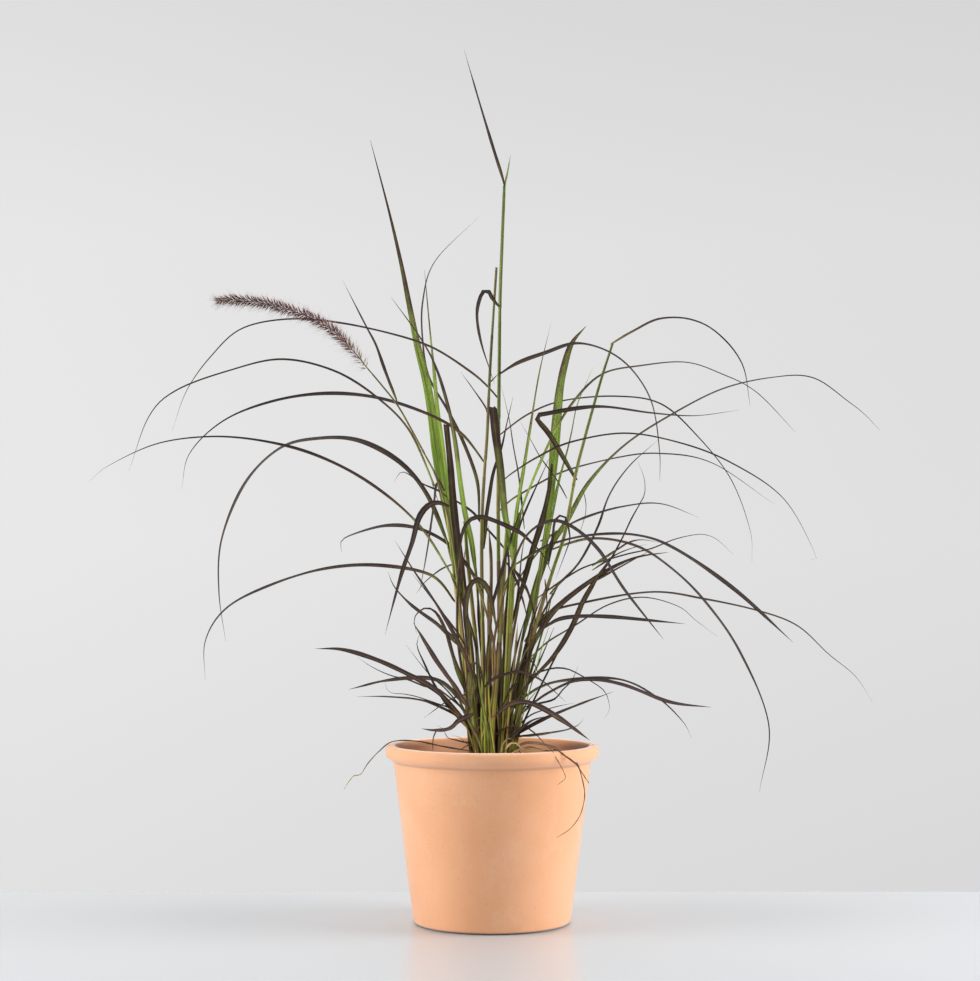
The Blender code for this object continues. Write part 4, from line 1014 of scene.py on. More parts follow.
# ---------------------------------------------------------------------------------------------
# Small blades. Side shoots, thin young leaves and old curled ones, too many and too fine to be
# pieces of their own. They are joined by the side of the plant that they grow on.

SMALL_BLADES = {
    "thin_upright_blades": [
        (2.5, (50, 50), (0.4, 1.4), (0.8, 0.9), 0.5, [(-0.2, 60.8), (0.2, 61.2), (0.75, 61.8)]),
        (2.4, (20, 20), (1.8, 2.2), (0.3, 0.1), 0.8, [(1.4, 82.9), (1.5, 83.6), (1.8, 85), (2.1, 86.8)]),
        (5.5, (15, 55), (0.6, 3), (0.75, 0.95), 0.5, [
            (-0.95, 42), (-0.75, 44.8), (-0.35, 47.5), (0.1, 50.3), (0.7, 52.2), (1.15, 53.6), (1.7, 56.2),
            (2.4, 59.2)]),
        (2.8, (40, 60), (0.4, -2), (0.6, 0.95), 0.4, [
            (3.5, 45.5), (3.2, 48.5), (2.9, 50.8), (2.4, 53.5), (2.0, 56.2), (1.5, 58.5), (1.0, 60.5)]),
        (2.6, (40, 60), (0.2, 3), (0.8, 1.0), 0.4, [(-0.6, 57.2), (-0.8, 58), (-2.3, 60.2), (-3.6, 62)]),
        (2.6, (50, 60), (0.8, 4), (0.8, 1.0), 0.4, [
            (8.4, 47.7), (7.3, 49.7), (6, 51.5), (5.3, 52.5), (4.5, 54), (3.2, 56.3)]),
        (5, (20, 60), (-1.4, -4), (0.0, 0.55), 1.0, [
            (2.3, 41.5), (2.6, 44.5), (2.9, 46.8), (3.6, 51), (4.4, 56), (5.4, 62), (6.7, 67.5)]),
        (3.5, (30, 50), (1.8, 5), (0.0, 0.5), 0.9, [
            (5.6, 39.5), (6.1, 42), (6.6, 44.5), (7.1, 47), (7.7, 50), (8.4, 52.5), (9, 55), (9.6, 58),
            (10.6, 60.5), (11.5, 62.5)]),
        ((3.5, 6, 7.2, 7, 5, 2.5), (10, 20), (0.2, 2.2), (0.72, 0.78), 0.5, [
            (3.1, 36.3), (3.7, 38.5), (4.6, 41.7), (5.5, 44.5), (6.2, 47.3), (6.6, 49.5), (6.8, 51.5)]),
        ((2, 3.2, 3.4, 3.2, 2.4, 0.8), (20, 30), (-0.4, 1.5), (0.0, 0.1), 0.5, [
            (4.6, 35.4), (4.95, 37.5), (5.6, 40.8), (6.2, 44.5), (6.9, 47.2), (7.8, 50.8)]),
        ((2, 3, 3, 2.4, 1.5, 0.5), (30, 40), (1.0, 3.0), (0.9, 0.95), 0.5, [
            (2.3, 42.0), (3.4, 45.2), (4.5, 47.8), (5.7, 50.4), (6.4, 52.0)]),
        ((2, 3.4, 3.6, 3.2, 1.0), (30, 40), (3.0, 3.4), (0.85, 0.9), 0.5, [
            (-4.6, 47.6), (-2.3, 46.1), (-1.0, 44.6), (0.9, 42.5), (2.2, 40.8)]),
    ],
    "thin_blades_left": [
        (6, (60, 70), (0.9, 6), (0.8, 1.0), 0.3, [
            (-5.5, 48.6), (-6.2, 49.5), (-6.7, 46), (-7.3, 42), (-8.2, 37)]),
        (3.5, (50, 60), (0.6, -3), (0.7, 1.0), 0.3, [
            (-5.2, 47.8), (-6, 48.4), (-8, 49.3), (-9.6, 50.4), (-10.4, 50.5), (-11.1, 49.5)]),
        (1.5, (60, 60), (0.8, 3), (0.8, 1.0), 0.3, [(-6.2, 47.5), (-6.7, 49), (-7.3, 51), (-8.4, 53.1)]),
        (3.6, (20, 30), (-1.0, -0.4), (0.72, 0.8), 0.4, [
            (-2.2, 27.0), (-2.6, 31.0), (-3.0, 35.0), (-3.2, 38.5), (-3.1, 41.5), (-2.6, 43.6)]),
        (3.2, (20, 30), (-0.6, 0.2), (0.8, 0.9), 0.4, [
            (-0.9, 27.0), (-1.3, 31.0), (-1.6, 34.5), (-1.6, 37.5), (-1.9, 41.0)]),
        (3.2, (50, 60), (0.2, 4), (0.6, 1.0), 0.4, [
            (-3.9, 40.2), (-4.8, 40), (-6, 39.4), (-7.6, 38.1), (-8.6, 36.8)]),
        (4, (60, 60), (-1.2, -8), (0.6, 1.0), 0.4, [
            (-3, 30.8), (-4, 32.5), (-5.5, 34.5), (-7, 36.5), (-9, 39)]),
        ((3, 4.5, 6, 7, 7, 7, 6.5, 4, 0.5), (20, 32), (-2.8, -6), (0.6, 0.72), 0.5, [
            (-2.7, 31), (-3.0, 34.5), (-2.75, 37.0), (-2.0, 38.3), (-1.2, 38.2), (-0.35, 37.0), (0.2, 34.5),
            (0.5, 32.5)]),
    ],
    "low_blades_left": [
        (7, (50, 60), (1.6, 6), (0.6, 1.0), 0.4, [
            (-2.2, 21.2), (-4.5, 23.6), (-6.4, 26.3), (-7.7, 29), (-8.5, 31), (-8.1, 32.4)]),
        (6, (60, 65), (-0.9, -4), (0.55, 0.95), 0.4, [
            (-2.6, 22.2), (-5, 23.6), (-8, 24.8), (-12, 25.2), (-15.3, 25.2)]),
        (3, (50, 60), (0.4, 6), (0.7, 1.0), 0.3, [
            (-2.8, 23), (-5, 25.8), (-7, 27.6), (-8.4, 29.3), (-9.7, 31)]),
        (4, (60, 60), (-1.4, -8), (0.5, 0.9), 0.4, [
            (-3, 23.6), (-6, 26), (-7.5, 26.3), (-9.5, 27.1), (-11.5, 27.6), (-13.5, 28.5), (-15.2, 29.6)]),
        (2.6, (60, 70), (-1.5, -5), (0.7, 0.85), 0.4, [
            (-5, 24), (-7, 24.7), (-8.5, 25.2), (-10, 25.5), (-11.3, 25.6), (-12, 26.2), (-12, 27)]),
        (3, (50, 60), (-2.8, -5), (0.6, 1.0), 0.4, [
            (-2.2, 25.4), (-3.6, 25.3), (-5.2, 24.6), (-6.6, 23.6), (-7.7, 22.8)]),
        (5, (10, 25), (-3.0, -4), (0.5, 0.65), 0.5, [
            (-2.4, 22.5), (-2.7, 25.5), (-2.65, 27.8), (-2.15, 29.0), (-1.5, 28.7), (-1.1, 27.3),
            (-0.85, 25.0)]),
        ((2, 3.4, 3.6, 3.2, 0.6), (25, 35), (-2.9, -3.4), (0.3, 0.5), 0.8, [
            (-1.6, 18), (-2.0, 21), (-2.3, 24), (-2.2, 26), (-2.0, 28)]),
        ((2, 4, 4.5, 3.6, 0.6), (30, 40), (-3.1, -3.6), (0.5, 0.7), 0.8, [
            (-0.9, 18), (-1.5, 20.2), (-2.4, 22), (-3.2, 23.6), (-4.3, 26.4)]),
        ((2, 3.4, 3.4, 2.6, 0.5), (20, 30), (-2.8, -3.4), (0.22, 0.4), 0.8, [
            (-0.4, 18), (-0.55, 21), (-1.0, 24), (-1.5, 27), (-1.6, 30.5)]),
        ((2, 3, 3.2, 2.6, 0.5), (20, 30), (-3.2, -2.6), (0.4, 0.7), 0.8, [
            (0.1, 18), (-0.1, 20), (-0.6, 22.5), (-1.4, 24.8), (-1.9, 26.5)]),
    ],
    "thin_blades_right": [
        (3.5, (50, 60), (-0.2, -5), (0.7, 1.0), 0.3, [
            (12, 38.6), (13.5, 40.8), (14.7, 43), (15.8, 45.3), (16.7, 46.9), (17.3, 48.2), (17.2, 50),
            (16.5, 51.8)]),
        (6, (60, 65), (0.2, 14), (0.5, 1.0), 0.4, [
            (7.5, 37.8), (10, 40.5), (12, 44.4), (13.3, 48), (15.5, 51.2), (18.9, 54.3)]),
        (3.5, (60, 60), (0.6, -12), (0.5, 1.0), 0.4, [
            (5, 36.2), (6.5, 37.3), (9, 39), (11, 40), (15, 41.2), (18, 41.9), (20.5, 42.9), (22.5, 43.4),
            (24, 43.5), (25.5, 42.9), (27.3, 41.2)]),
        (3.5, (60, 60), (0.8, 12), (0.4, 0.9), 0.5, [
            (5, 30.2), (6.5, 31.5), (9.5, 33.3), (13, 35.5), (17, 36.4), (21, 35.4), (23, 33.8),
            (25.4, 32)]),
        (7, (45, 60), (-0.2, 5), (0.45, 0.85), 0.5, [
            (3.8, 31.5), (5, 33), (9, 36.8), (13, 39), (18.3, 41.9)]),
        (4, (40, 60), (-1.6, -6), (0.4, 0.8), 0.5, [
            (12.5, 40.7), (14.2, 41.8), (15.5, 42.6), (17, 42.9), (18.8, 42.6)]),
        (3, (40, 60), (-1.2, -4), (0.4, 0.8), 0.5, [(12.5, 40.2), (14.2, 41.3), (16, 42), (17.5, 42.4)]),
        (4, (30, 60), (-1.6, -3), (0.9, 1.0), 0.3, [
            (6.6, 41.5), (6.9, 43.5), (7.1, 45), (7.6, 45.6), (8.3, 45.4), (8.8, 43.2), (8.5, 42),
            (7.2, 38.5)]),
        (1.5, (60, 60), (-1, -2), (0.8, 1.0), 0.3, [
            (10.3, 48.5), (10.6, 47.3), (10.6, 46), (10.3, 44.8), (9.5, 42.5)]),
        (2.5, (50, 60), (-1.4, -2), (0.8, 1.0), 0.3, [(6, 38.3), (6.2, 36), (6.1, 34), (5.6, 32.5)]),
        (5, (40, 50), (-1.5, -3), (0.8, 1.0), 0.3, [(2.5, 39.5), (3.8, 37.5), (4.5, 35.5), (5.1, 33)]),
        (4.5, (30, 40), (-1.8, -3), (0.9, 1.0), 0.3, [
            (0.3, 36.5), (1.0, 39), (1.7, 41.5), (2.6, 44.5), (3.8, 47.5)]),
        (3.6, (30, 40), (-2.2, -3), (0.85, 0.9), 0.3, [
            (1.7, 40.2), (2.4, 39.0), (3.1, 37.3), (3.7, 35.2), (4.1, 33.2)]),
        (3.0, (30, 40), (0.6, 1.0), (0.7, 0.75), 0.3, [
            (2.2, 33.0), (2.8, 36.0), (3.1, 38.5), (3.4, 41.5), (3.9, 44.0)]),
    ],
    "low_blades_right": [
        (7, (50, 60), (-2, -7), (0.7, 1.0), 0.3, [(2.5, 20.8), (5.5, 22.5), (9.5, 24.2), (13.8, 25.8)]),
        (3, (50, 60), (-1.8, -5), (0.6, 1.0), 0.4, [
            (4, 27.4), (5.5, 28), (7, 28.4), (8.5, 28.3), (10, 27.6), (12.5, 26), (13.2, 24.5),
            (13.2, 23.6), (12.6, 22.7)]),
        (5, (40, 60), (-3.6, -6), (0.85, 1.0), 0.3, [
            (-0.9, 26.2), (-0.3, 26.8), (0.8, 27.5), (3.3, 28), (5.6, 27), (6.8, 26), (8.3, 24.6)]),
        (5, (50, 60), (-1.4, -7), (0.5, 0.8), 0.5, [
            (2.8, 20.7), (5, 20.9), (7, 21.2), (8.5, 21.5), (9.7, 22), (10.3, 22.7)]),
        (6, (45, 50), (-2.6, -4), (0.8, 1.0), 0.3, [(1.8, 20.2), (3.2, 21.5), (4.5, 22.5), (6.1, 23)]),
        (4, (50, 60), (0.4, 3), (0.7, 1.0), 0.3, [
            (3.6, 24), (5.2, 24.4), (7, 24.9), (8, 26), (9, 27), (9.7, 28.6)]),
        (3, (60, 60), (-1.2, -4), (0.6, 1.0), 0.3, [(2.6, 21.6), (4.5, 23.2), (7, 24), (9.3, 24.5)]),
        (3, (50, 60), (-2.4, -4), (0.8, 1.0), 0.3, [(3.4, 22.2), (4.1, 21.6), (5, 20.9), (6.2, 19.6)]),
        (3.5, (30, 60), (-2.2, -4), (0.85, 1.0), 0.3, [
            (2.6, 27), (3.4, 29), (4.2, 29.3), (4.9, 28.6), (5.2, 27.6), (5.6, 26.5)]),
        ((2, 3.6, 4, 3.6, 2.6, 0.5), (30, 40), (-1.5, -0.6), (0.45, 0.6), 0.8, [
            (0.8, 18), (1.1, 21), (1.6, 24.5), (2.2, 28), (3.0, 31.5), (4.1, 35.2)]),
        ((2, 3.4, 3.8, 4, 3, 0.5), (30, 40), (-2.2, -1.4), (0.2, 0.5), 0.8, [
            (1.0, 18), (1.5, 21), (2.2, 24), (3.1, 27), (4.1, 29.6), (5.3, 32.7), (6.4, 35.6)]),
        ((2, 3, 3, 2.6, 0.5), (30, 40), (-2.6, -1.0), (0.0, 0.4), 0.8, [
            (1.3, 18.2), (1.8, 20.5), (2.5, 23), (3.4, 25.4), (4.7, 27.8), (5.9, 30.4), (7.0, 33)]),
        ((2, 3, 3, 2.4, 0.5), (35, 45), (-2.8, -2.6), (0.5, 0.7), 0.8, [
            (1.7, 18), (2.2, 20.3), (3.0, 22.6), (3.8, 24.3), (5.0, 25.8)]),
        ((2, 3, 3, 2.4, 0.5), (35, 45), (-2.4, -3.4), (0.8, 0.9), 0.8, [
            (0.4, 20.9), (1.2, 21.5), (2.0, 21.8), (2.8, 21.9), (3.4, 21.5)]),
        ((2, 3, 3, 2.6, 0.5), (20, 30), (-2.6, -2.2), (0.6, 0.7), 0.8, [
            (0.65, 18), (0.85, 21.5), (1.0, 25), (1.2, 29), (1.35, 32.0)]),
        ((2, 3, 3.4, 3.4, 2.6, 0.5), (30, 45), (1.0, 3.0), (0.05, 0.3), 0.8, [
            (2.4, 19), (3.2, 23), (4.4, 28), (5.4, 31.5), (6.4, 35), (7.0, 38)]),
        ((1.6, 2.6, 2.6, 2.2, 0.5), (20, 30), (-3.0, -2.4), (0.85, 1.0), 0.8, [
            (1.1, 24.0), (2.0, 25.9), (3.0, 27.6), (4.2, 29.8), (5.2, 32.2), (5.8, 34.5)]),
        ((2, 2.6, 2.8, 2.6, 0.6), (15, 25), (-2.7, -2.2), (0.38, 0.5), 0.8, [
            (2.6, 18.5), (2.9, 21.5), (3.3, 24.8), (3.9, 28.3), (4.5, 30.9), (5.3, 33.8)]),
        ((1.8, 2.6, 2.6, 2.2, 0.6), (15, 25), (-2.5, -2.0), (0.55, 0.8), 0.8, [
            (1.9, 18.5), (2.1, 21.5), (2.5, 24.6), (3.1, 27.8), (3.8, 30.6), (4.3, 33.5)]),
        ((1.0, 1.4, 1.5, 1.2, 0.5), (20, 30), (-2.4, -2.8), (0.0, 0.05), 0.8, [
            (3.4, 22.8), (4.2, 25.8), (5.0, 28.4), (5.6, 30.6), (6.4, 33.0)]),
        ((2, 3, 3.2, 2.6, 0.5), (20, 30), (-1.6, -2.4), (0.9, 0.95), 0.8, [
            (1.4, 18.5), (2.0, 22.4), (2.9, 26.6), (3.6, 30.2), (4.6, 33.8), (6.0, 37.4)]),
    ],
}
small_sheaths = []
for first, (name, rows) in enumerate(SMALL_BLADES.items()):
    parts = [blade_part(row[-1], *row[:-1], 100 * (first + 1) + seed) for seed, row in enumerate(rows)]
    make_piece(name, parts, blade, smooth_angle=60)
    for seed, (width, turns, depths, ripe, spread, points) in enumerate(rows):
        if has_own_sheath(points, highest=40):
            small_sheaths.append(own_sheath(points, depths[0], width, ripe[0], 100 * (first + 1) + seed))
make_piece("small_sheaths", small_sheaths, sheath)


# ---------------------------------------------------------------------------------------------
# Flower spike. A bottlebrush of small purple spikelets, each among long silky bristles, set spirally
# on a thin green axis that carries on from its stalk. They point to the tip and open at the bottom.

def many_spindles(bases, directions, lengths, widths, profile, sides, droop):
    """Thin closed spindles. Each axis leaves its base along its direction and bends down by its droop,
    times the square of the share of its length. Rings have the profile's widths, and the ends are points."""
    share = np.linspace(0.0, 1.0, len(profile) + 2)[1:-1]
    aside = unit(np.cross(directions, np.array([0.31, 0.87, 0.38])))
    over = np.cross(directions, aside)
    axis = bases[:, None] + directions[:, None] * (lengths[:, None] * share)[..., None]
    axis[..., 2] -= droop[:, None] * share**2
    angle = np.linspace(0.0, 2 * np.pi, sides, endpoint=False)
    reach = (widths[:, None] / 2 * np.array(profile))[:, :, None]
    rings = (axis[:, :, None, :] + aside[:, None, None, :] * (reach * np.cos(angle))[..., None]
             + over[:, None, None, :] * (reach * np.sin(angle))[..., None])
    tips = bases + directions * lengths[:, None]
    tips[:, 2] -= droop
    count = len(bases)
    corners = np.concatenate([rings.reshape(count, -1, 3), bases[:, None], tips[:, None]], axis=1)
    faces = repeated_faces(len(profile), sides, count)
    up_share = np.concatenate([np.repeat(share, sides), [0.0, 1.0]])
    return *facing_out(corners.reshape(-1, 3), *faces), np.tile(up_share, (count, 1))


SPIKE_DEPTHS = (0.1, 5.0)
SPIKE_POINTS = [
    (-14.1, 62.3), (-16, 64.6), (-18, 66.6), (-20, 67.9), (-23, 69), (-26, 69.8), (-29, 70.15), (-31.3, 70.1)]


def spike_places(count):
    """Places along the axis, sparse at its bottom, and directions out of it. Each is turned from the last
    by the golden angle, and leans to the tip by about half a right angle."""
    golden_angle = 2.39996
    steps = 240
    random = np.random.default_rng(21)
    axis = path_in_depth(SPIKE_POINTS, *SPIKE_DEPTHS, steps)
    along, flat, behind = frame_along(axis)
    order = (np.arange(count) + 0.5) / count
    share = np.interp(order, [0, 0.02, 0.07, 0.15, 1], [0.005, 0.06, 0.14, 0.22, 0.995])
    row = (share * steps).astype(int)
    angle = np.arange(count) * golden_angle + random.normal(0, 0.15, count)
    outward = flat[row] * np.cos(angle)[:, None] + behind[row] * np.sin(angle)[:, None]
    lean = np.interp(share, [0, 0.12, 0.5, 0.92, 1], [48, 48, 51, 47, 28]) + random.normal(0, 5, count)
    lean = np.radians(lean)
    direction = along[row] * np.cos(lean)[:, None] + outward * np.sin(lean)[:, None]
    return share, axis[row] + outward * 0.5 * MM, direction, random


def spike_axis():
    """The axis inside the spike, as thin as the stalk's end and thinner towards the tip."""
    steps = 60
    path = path_in_depth(SPIKE_POINTS, *SPIKE_DEPTHS, steps)
    radii = np.linspace(0.7, 0.35, steps + 1) * MM
    return tube_part(path, radii, 8, np.linspace(0.1, 0.5, steps + 1))


def spikelets(count=340):
    """Plump pointed spikelets, sparse and open at the bottom of the spike and close at its tip."""
    share, start, direction, random = spike_places(count)
    length = random.uniform(9, 11.5, count) * MM * np.interp(share, [0, 0.15, 0.9, 1], [0.75, 0.95, 1, 0.7])
    width = random.uniform(0.9, 1.5, count) * MM * np.interp(share, [0, 0.2], [0.65, 1])
    *mesh, up = many_spindles(start, direction, length, width, [0.55, 1.0, 0.9, 0.42], 5, 0 * length)
    ripe = 0.2 + 0.6 * up + np.interp(share, [0, 0.15, 0.85, 1], [-0.25, 0.1, 0.3, -0.5])[:, None]
    ripe = ripe + random.normal(0, 0.22, count)[:, None]
    return *mesh, np.zeros((len(mesh[0]), 2)), np.clip(ripe, 0, 1).ravel()


def bristles(count=340, tuft=9):
    """A tuft of silky bristles round each spikelet, spread by about 15 degrees and pale at the ends."""
    share, start, direction, random = spike_places(count)
    start, direction = np.repeat(start, tuft, axis=0), np.repeat(direction, tuft, axis=0)
    direction = unit(direction + random.normal(0, 0.2, direction.shape))
    length = random.gamma(16.0, 1.0, len(start)) * MM * 0.85
    width = random.uniform(0.10, 0.18, len(start)) * MM
    *mesh, up = many_spindles(start, direction, length, width, [1.0, 0.8, 0.5], 3, length * 0.05)
    ripe = 0.7 - 0.7 * up + random.normal(0, 0.12, len(start))[:, None]
    return *mesh, np.zeros((len(mesh[0]), 2)), np.clip(ripe, 0, 1).ravel()


HUSK_STOPS = [(0.0, (0.30, 0.27, 0.10)), (0.3, (0.29, 0.14, 0.11)), (0.6, (0.135, 0.047, 0.047)),
              (1.0, (0.060, 0.020, 0.024))]
SILK_STOPS = [(0.0, (0.88, 0.70, 0.67)), (0.4, (0.68, 0.42, 0.42)), (0.8, (0.34, 0.15, 0.155)),
              (1.0, (0.13, 0.06, 0.07))]
spikelet_husk = plant_material("spikelet_husk", HUSK_STOPS, (0.2, 0.1, 0.1), 0.0, 0.5, 3.0, 0.05 * MM)
silk = plant_material("silk_bristle", SILK_STOPS, (0.2, 0.1, 0.1), 0.0, 0.45, 3.0, 0.03 * MM)
make_piece("flower_spike_spikelets", [spikelets()], spikelet_husk, ["flower_spike"])
make_piece("flower_spike_bristles", [bristles()], silk)
make_piece("flower_spike_axis", [spike_axis()], sheath)


# ---------------------------------------------------------------------------------------------
# Dried strands. Old leaves that have died and shrivelled to thin brown cords. They are still held
# at the crown, lie across the soil and hang over the rim, with curled scraps of old sheath.

DRIED_STOPS = [(0.0, (0.50, 0.42, 0.22)), (0.4, (0.26, 0.17, 0.11)), (1.0, (0.075, 0.045, 0.04))]
dried_blade = plant_material("dried_blade", DRIED_STOPS, (0.2, 0.15, 0.1), 0.1, 0.6, 7.0, 0.15 * MM)


def strand_part(points, diameter, ripe, seed):
    """A shrivelled strand: a thin tube, a little flattened and uneven, that tapers to half its width."""
    steps = 90
    random = np.random.default_rng(seed)
    route = smooth_path(points, steps)
    path = on_sight_line(route[:, 0], route[:, 1], route[:, 2])
    share = np.linspace(0, 1, steps + 1)
    uneven = 1 + 0.18 * np.sin(share * 40 + random.uniform(0, 6))
    radii = diameter * MM / 2 * (1 - 0.55 * share) * uneven
    ripeness = np.linspace(*ripe, steps + 1)
    return tube_part(path, radii, 8, ripeness, around=lambda angle: 1 + 0.35 * np.cos(2 * angle))


# Diameter in mm, ripeness at the root and the tip, then points (x, z, depth) in cm.
LEFT_STRANDS = [
    (1.3, (0.9, 0.0), [
        (-3.2, 19.2, -0.8), (-5.5, 19.6, -0.8), (-8.5, 20.2, -0.6), (-11.2, 20.15, -0.5),
        (-12.7, 19.1, -0.6), (-14.0, 17.7, -0.9), (-14.8, 16.5, -1.2), (-15.7, 16.2, -1.5),
        (-16.7, 14.8, -2.0)]),
]
RIGHT_STRANDS = [
    (1.5, (0.9, 0.7), [
        (6.9, 19.3, -9.0), (7.4, 19.2, -9.2), (8.3, 18.5, -9.4), (9.3, 17.8, -9.4), (10.1, 16.7, -9.0),
        (10.9, 15.5, -8.6)]),
    (0.9, (0.85, 0.7), [
        (6.2, 19.6, -8.8), (6.7, 19.2, -9.6), (7.4, 18, -9.9), (8.1, 16.7, -9.6), (8.2, 16, -9.4),
        (7.4, 15.3, -9.3)]),
    (1.0, (0.95, 0.75), [
        (9.3, 17.8, -9.3), (9.7, 17.5, -9.3), (10.3, 15.3, -9.0), (10.4, 13.8, -8.7), (9.9, 11.9, -8.6),
        (8.8, 10.4, -8.7), (7.3, 9.4, -8.9)]),
]
# The flattened leaf that the right strands hang from: widths in mm, then as for the leaves.
DRAPE = ((2.5, 4.5, 5, 4.5, 4, 3, 1.2), (60, 40), (-1.6, -10.2), (0.8, 0.95), 0.5, [
    (2.4, 18.9), (3.3, 19.8), (4.5, 20.0), (6.0, 19.75), (7.2, 19.35), (8.3, 18.5), (9.3, 17.7)])

left_strands = [strand_part(points, *size, seed) for seed, (*size, points) in enumerate(LEFT_STRANDS)]
make_piece("dry_strand_left_shrivelled", left_strands, dried_blade, ["dry_strand_left"])
right_strands = [strand_part(points, *size, seed + 5) for seed, (*size, points) in enumerate(RIGHT_STRANDS)]
drape = blade_part(DRAPE[-1], *DRAPE[:-1], 7, fold=0.6)
make_piece("dry_strand_right_shrivelled", [drape, *right_strands], dried_blade,
           ["dry_strand_right"])

# Curled scraps of old sheath that lie against the crown, each given as a leaf is.
SCRAPS = [
    (2.0, (40, 60), (-1.4, -3), (0.8, 1.0), 0.5, [(-6.3, 21.3), (-6.6, 20.6), (-6.7, 19.6), (-6.6, 18.6)]),
    (2.0, (50, 70), (-1.2, -3), (0.9, 1.0), 0.5, [
        (-2.4, 20.0), (-3.2, 20.1), (-4, 20.3), (-5, 20.6), (-5.5, 21.5), (-6.2, 22)]),
    (1.6, (50, 70), (-2.2, -4), (0.9, 1.0), 0.5, [
        (-2.0, 19.0), (-2.9, 19.15), (-4.5, 19.4), (-6.5, 19.8), (-8.4, 19.95)]),
    (1.2, (50, 70), (-1.8, -2), (0.5, 0.7), 0.5, [(-2.2, 19.6), (-3.0, 20.0), (-3.6, 20.6), (-4.6, 20.9)]),
    (3.5, (40, 60), (-3.4, -4), (0.0, 0.1), 0.5, [
        (1.6, 19.4), (2.1, 19.9), (2.8, 19.9), (3.3, 19.4), (3.9, 19.1)]),
    (3.0, (30, 60), (-3.2, -5), (0.2, 0.3), 0.5, [
        (2.2, 18.8), (3.0, 19.2), (4.2, 19.35), (5.6, 19.2), (6.6, 19.3)]),
    (2.5, (30, 60), (-3.6, -5), (0.8, 0.9), 0.5, [
        (3.2, 19.2), (4.2, 19.5), (5.2, 19.3), (6.4, 19.1), (8.0, 19.3)]),
    (3.0, (40, 60), (-3.0, -3), (0.3, 0.6), 0.5, [(-1.6, 19.0), (-1.9, 20.4), (-1.6, 21.6), (-1.0, 22.0)]),
    (2.4, (30, 50), (-3.2, -3), (0.0, 0.2), 0.5, [(-1.2, 20.6), (-0.9, 21.8), (-1.3, 22.8), (-1.9, 22.5)]),
    (3.0, (30, 50), (-3.2, -3), (0.4, 0.2), 0.5, [(1.0, 18.6), (1.2, 19.8), (1.9, 20.5), (2.4, 20.2)]),
    (3.0, (30, 50), (3.0, 6), (0.4, 0.2), 0.5, [(-1.0, 18.4), (-1.5, 19.6), (-2.5, 19.8), (-4.0, 19.0)]),
    (3.0, (30, 50), (3.0, 7), (0.4, 0.9), 0.5, [(1.0, 18.4), (1.5, 19.6), (2.5, 19.4), (4.0, 18.2)]),
]
scraps = [blade_part(row[-1], *row[:-1], 900 + seed, fold=0.8) for seed, row in enumerate(SCRAPS)]
make_piece("crown_scraps", scraps, dried_blade)


# ---------------------------------------------------------------------------------------------
# Table and light. A pale table top with a slight sheen, in a pale room, with a large soft light on
# either side, a weaker one overhead and a faint one in front.

def table_material():
    """Pale cool table top, smooth enough to give back a blurred likeness of the pot."""
    material, tree, shader = new_material("table_top", Metallic=0.0, Specular_IOR_Level=0.5, Roughness=0.26)
    place = add_node(tree, "ShaderNodeTexCoord").outputs["Object"]
    cloud = add_node(tree, "ShaderNodeTexNoise", Vector=place, Scale=3.0, Detail=2.0)
    colour = ramp(tree, cloud.outputs[0], [(0.3, (0.545, 0.565, 0.59)), (0.7, (0.555, 0.575, 0.60))])
    tree.links.new(colour, shader.inputs["Base Color"])
    return material


def stage_plane(name, width, near, far, material):
    """A level rectangle, a hair below the pot's underside."""
    mesh = bpy.data.meshes.new(name)
    level = -0.2 * MM
    corners = [(-width, near, level), (width, near, level), (width, far, level), (-width, far, level)]
    mesh.from_pydata(corners, [], [(0, 1, 2, 3)])
    mesh.materials.append(material)
    plane = bpy.data.objects.new(name, mesh)
    bpy.context.scene.collection.objects.link(plane)


stage_plane("table", 1.9, -2.2, 0.22, table_material())


def soft_light(name, place, target, size, power, colour):
    """A square area light that faces its target."""
    data = bpy.data.lights.new(name, "AREA")
    data.shape = "RECTANGLE"
    data.size, data.size_y = size
    data.energy = power
    data.color = colour
    light = bpy.data.objects.new(name, data)
    light.location = place
    light.visible_glossy = False
    light.rotation_euler = (Vector(target) - Vector(place)).to_track_quat("-Z", "Y").to_euler()
    bpy.context.scene.collection.objects.link(light)


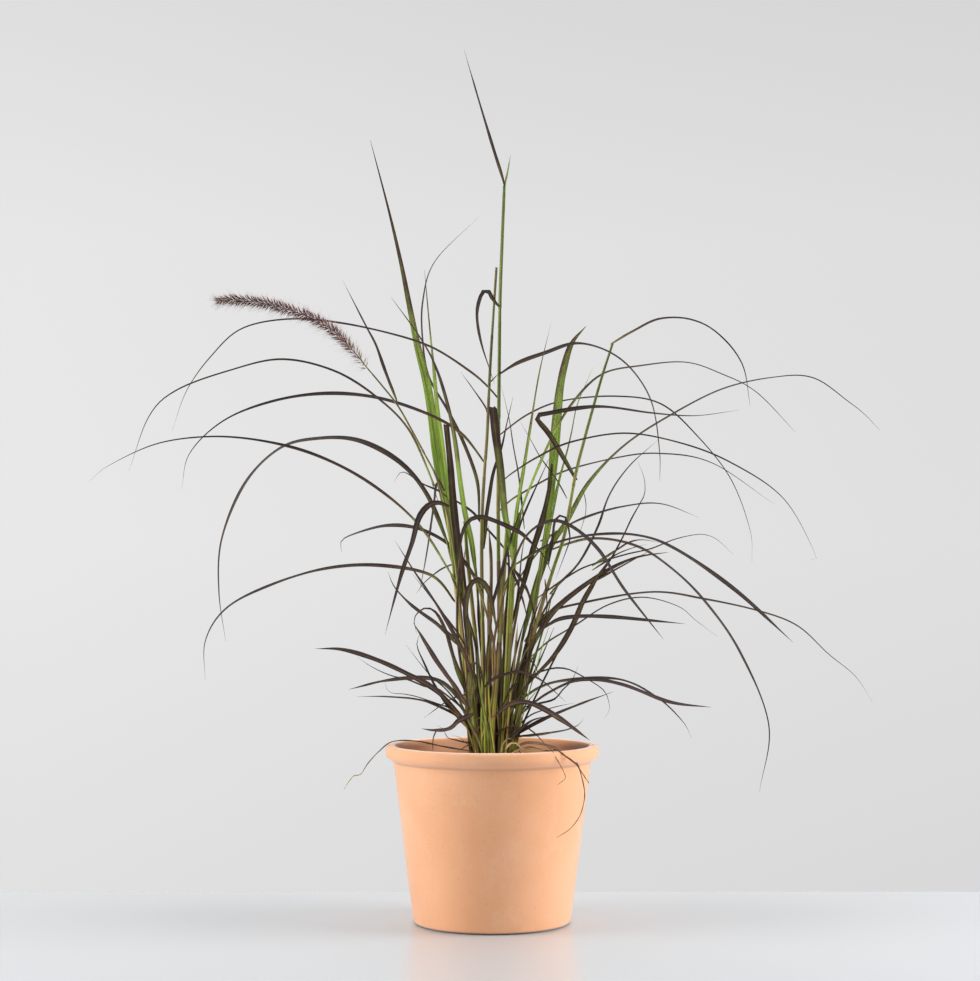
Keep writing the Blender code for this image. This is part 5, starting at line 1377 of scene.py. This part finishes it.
soft_light("left_softbox", (-1.95, -0.38, 0.8), (0, 0, 0.3), (1.2, 1.9), 49.0, (1.0, 0.985, 0.96))
soft_light("right_softbox", (1.95, -0.22, 0.8), (0, 0, 0.3), (1.2, 1.9), 60.0, (1.0, 0.985, 0.97))
soft_light("overhead", (0.0, 0.9, 2.2), (0, 0, 0.2), (2.4, 2.0), 22.0, (1.0, 1.0, 1.0))
soft_light("front_fill", (0.0, -2.6, 2.6), (0, 0, 0.3), (2.2, 1.4), 9.0, (1.0, 1.0, 1.0))


def pale_room():
    """The pale room: an even light from all round, and a wall that is seen behind, darker low and high."""
    world = bpy.data.worlds.new("pale_room")
    world.use_nodes = True
    room = world.node_tree
    ambient = room.nodes["Background"]
    ambient.inputs["Color"].default_value = (0.78, 0.79, 0.80, 1.0)
    ambient.inputs["Strength"].default_value = 0.40
    direction = add_node(room, "ShaderNodeTexCoord").outputs["Generated"]
    side, _, height = add_node(room, "ShaderNodeSeparateXYZ", _0=direction).outputs
    shades = ((0.0, 0.70), (0.45, 0.77), (0.75, 0.76), (1.0, 0.69))
    wall = ramp(room, carried(room, height, -0.2, 0.28), [(place, (shade,) * 3) for place, shade in shades])
    shares = ((0.0, 1.05), (0.5, 1.0), (1.0, 0.965))
    falloff = ramp(room, carried(room, side, -0.22, 0.22), [(place, (share,) * 3) for place, share in shares])
    wall = mix_colour(room, 1.0, wall, falloff, "MULTIPLY")
    backdrop = add_node(room, "ShaderNodeBackground", Color=wall, Strength=1.0)
    rays = add_node(room, "ShaderNodeLightPath").outputs
    seen = math_node(room, "MAXIMUM", rays["Is Camera Ray"], rays["Is Glossy Ray"])
    either = add_node(room, "ShaderNodeMixShader", _0=seen, _1=ambient.outputs[0], _2=backdrop.outputs[0])
    room.links.new(either.outputs[0], room.nodes["World Output"].inputs["Surface"])
    return world


bpy.context.scene.world = pale_room()

# The camera stands where the front elevation is drawn from, and looks up a little.
lens = bpy.data.cameras.new("camera")
lens.lens = 75.2
lens.sensor_width = 36.0
lens.clip_start = 0.1
lens.clip_end = 100.0
camera = bpy.data.objects.new("camera", lens)
camera.location = EYE
camera.rotation_euler = (math.radians(90 + 2.34), 0.0, math.radians(0.059))
bpy.context.scene.collection.objects.link(camera)
bpy.context.scene.camera = camera
bpy.context.scene.view_settings.view_transform = "Standard"
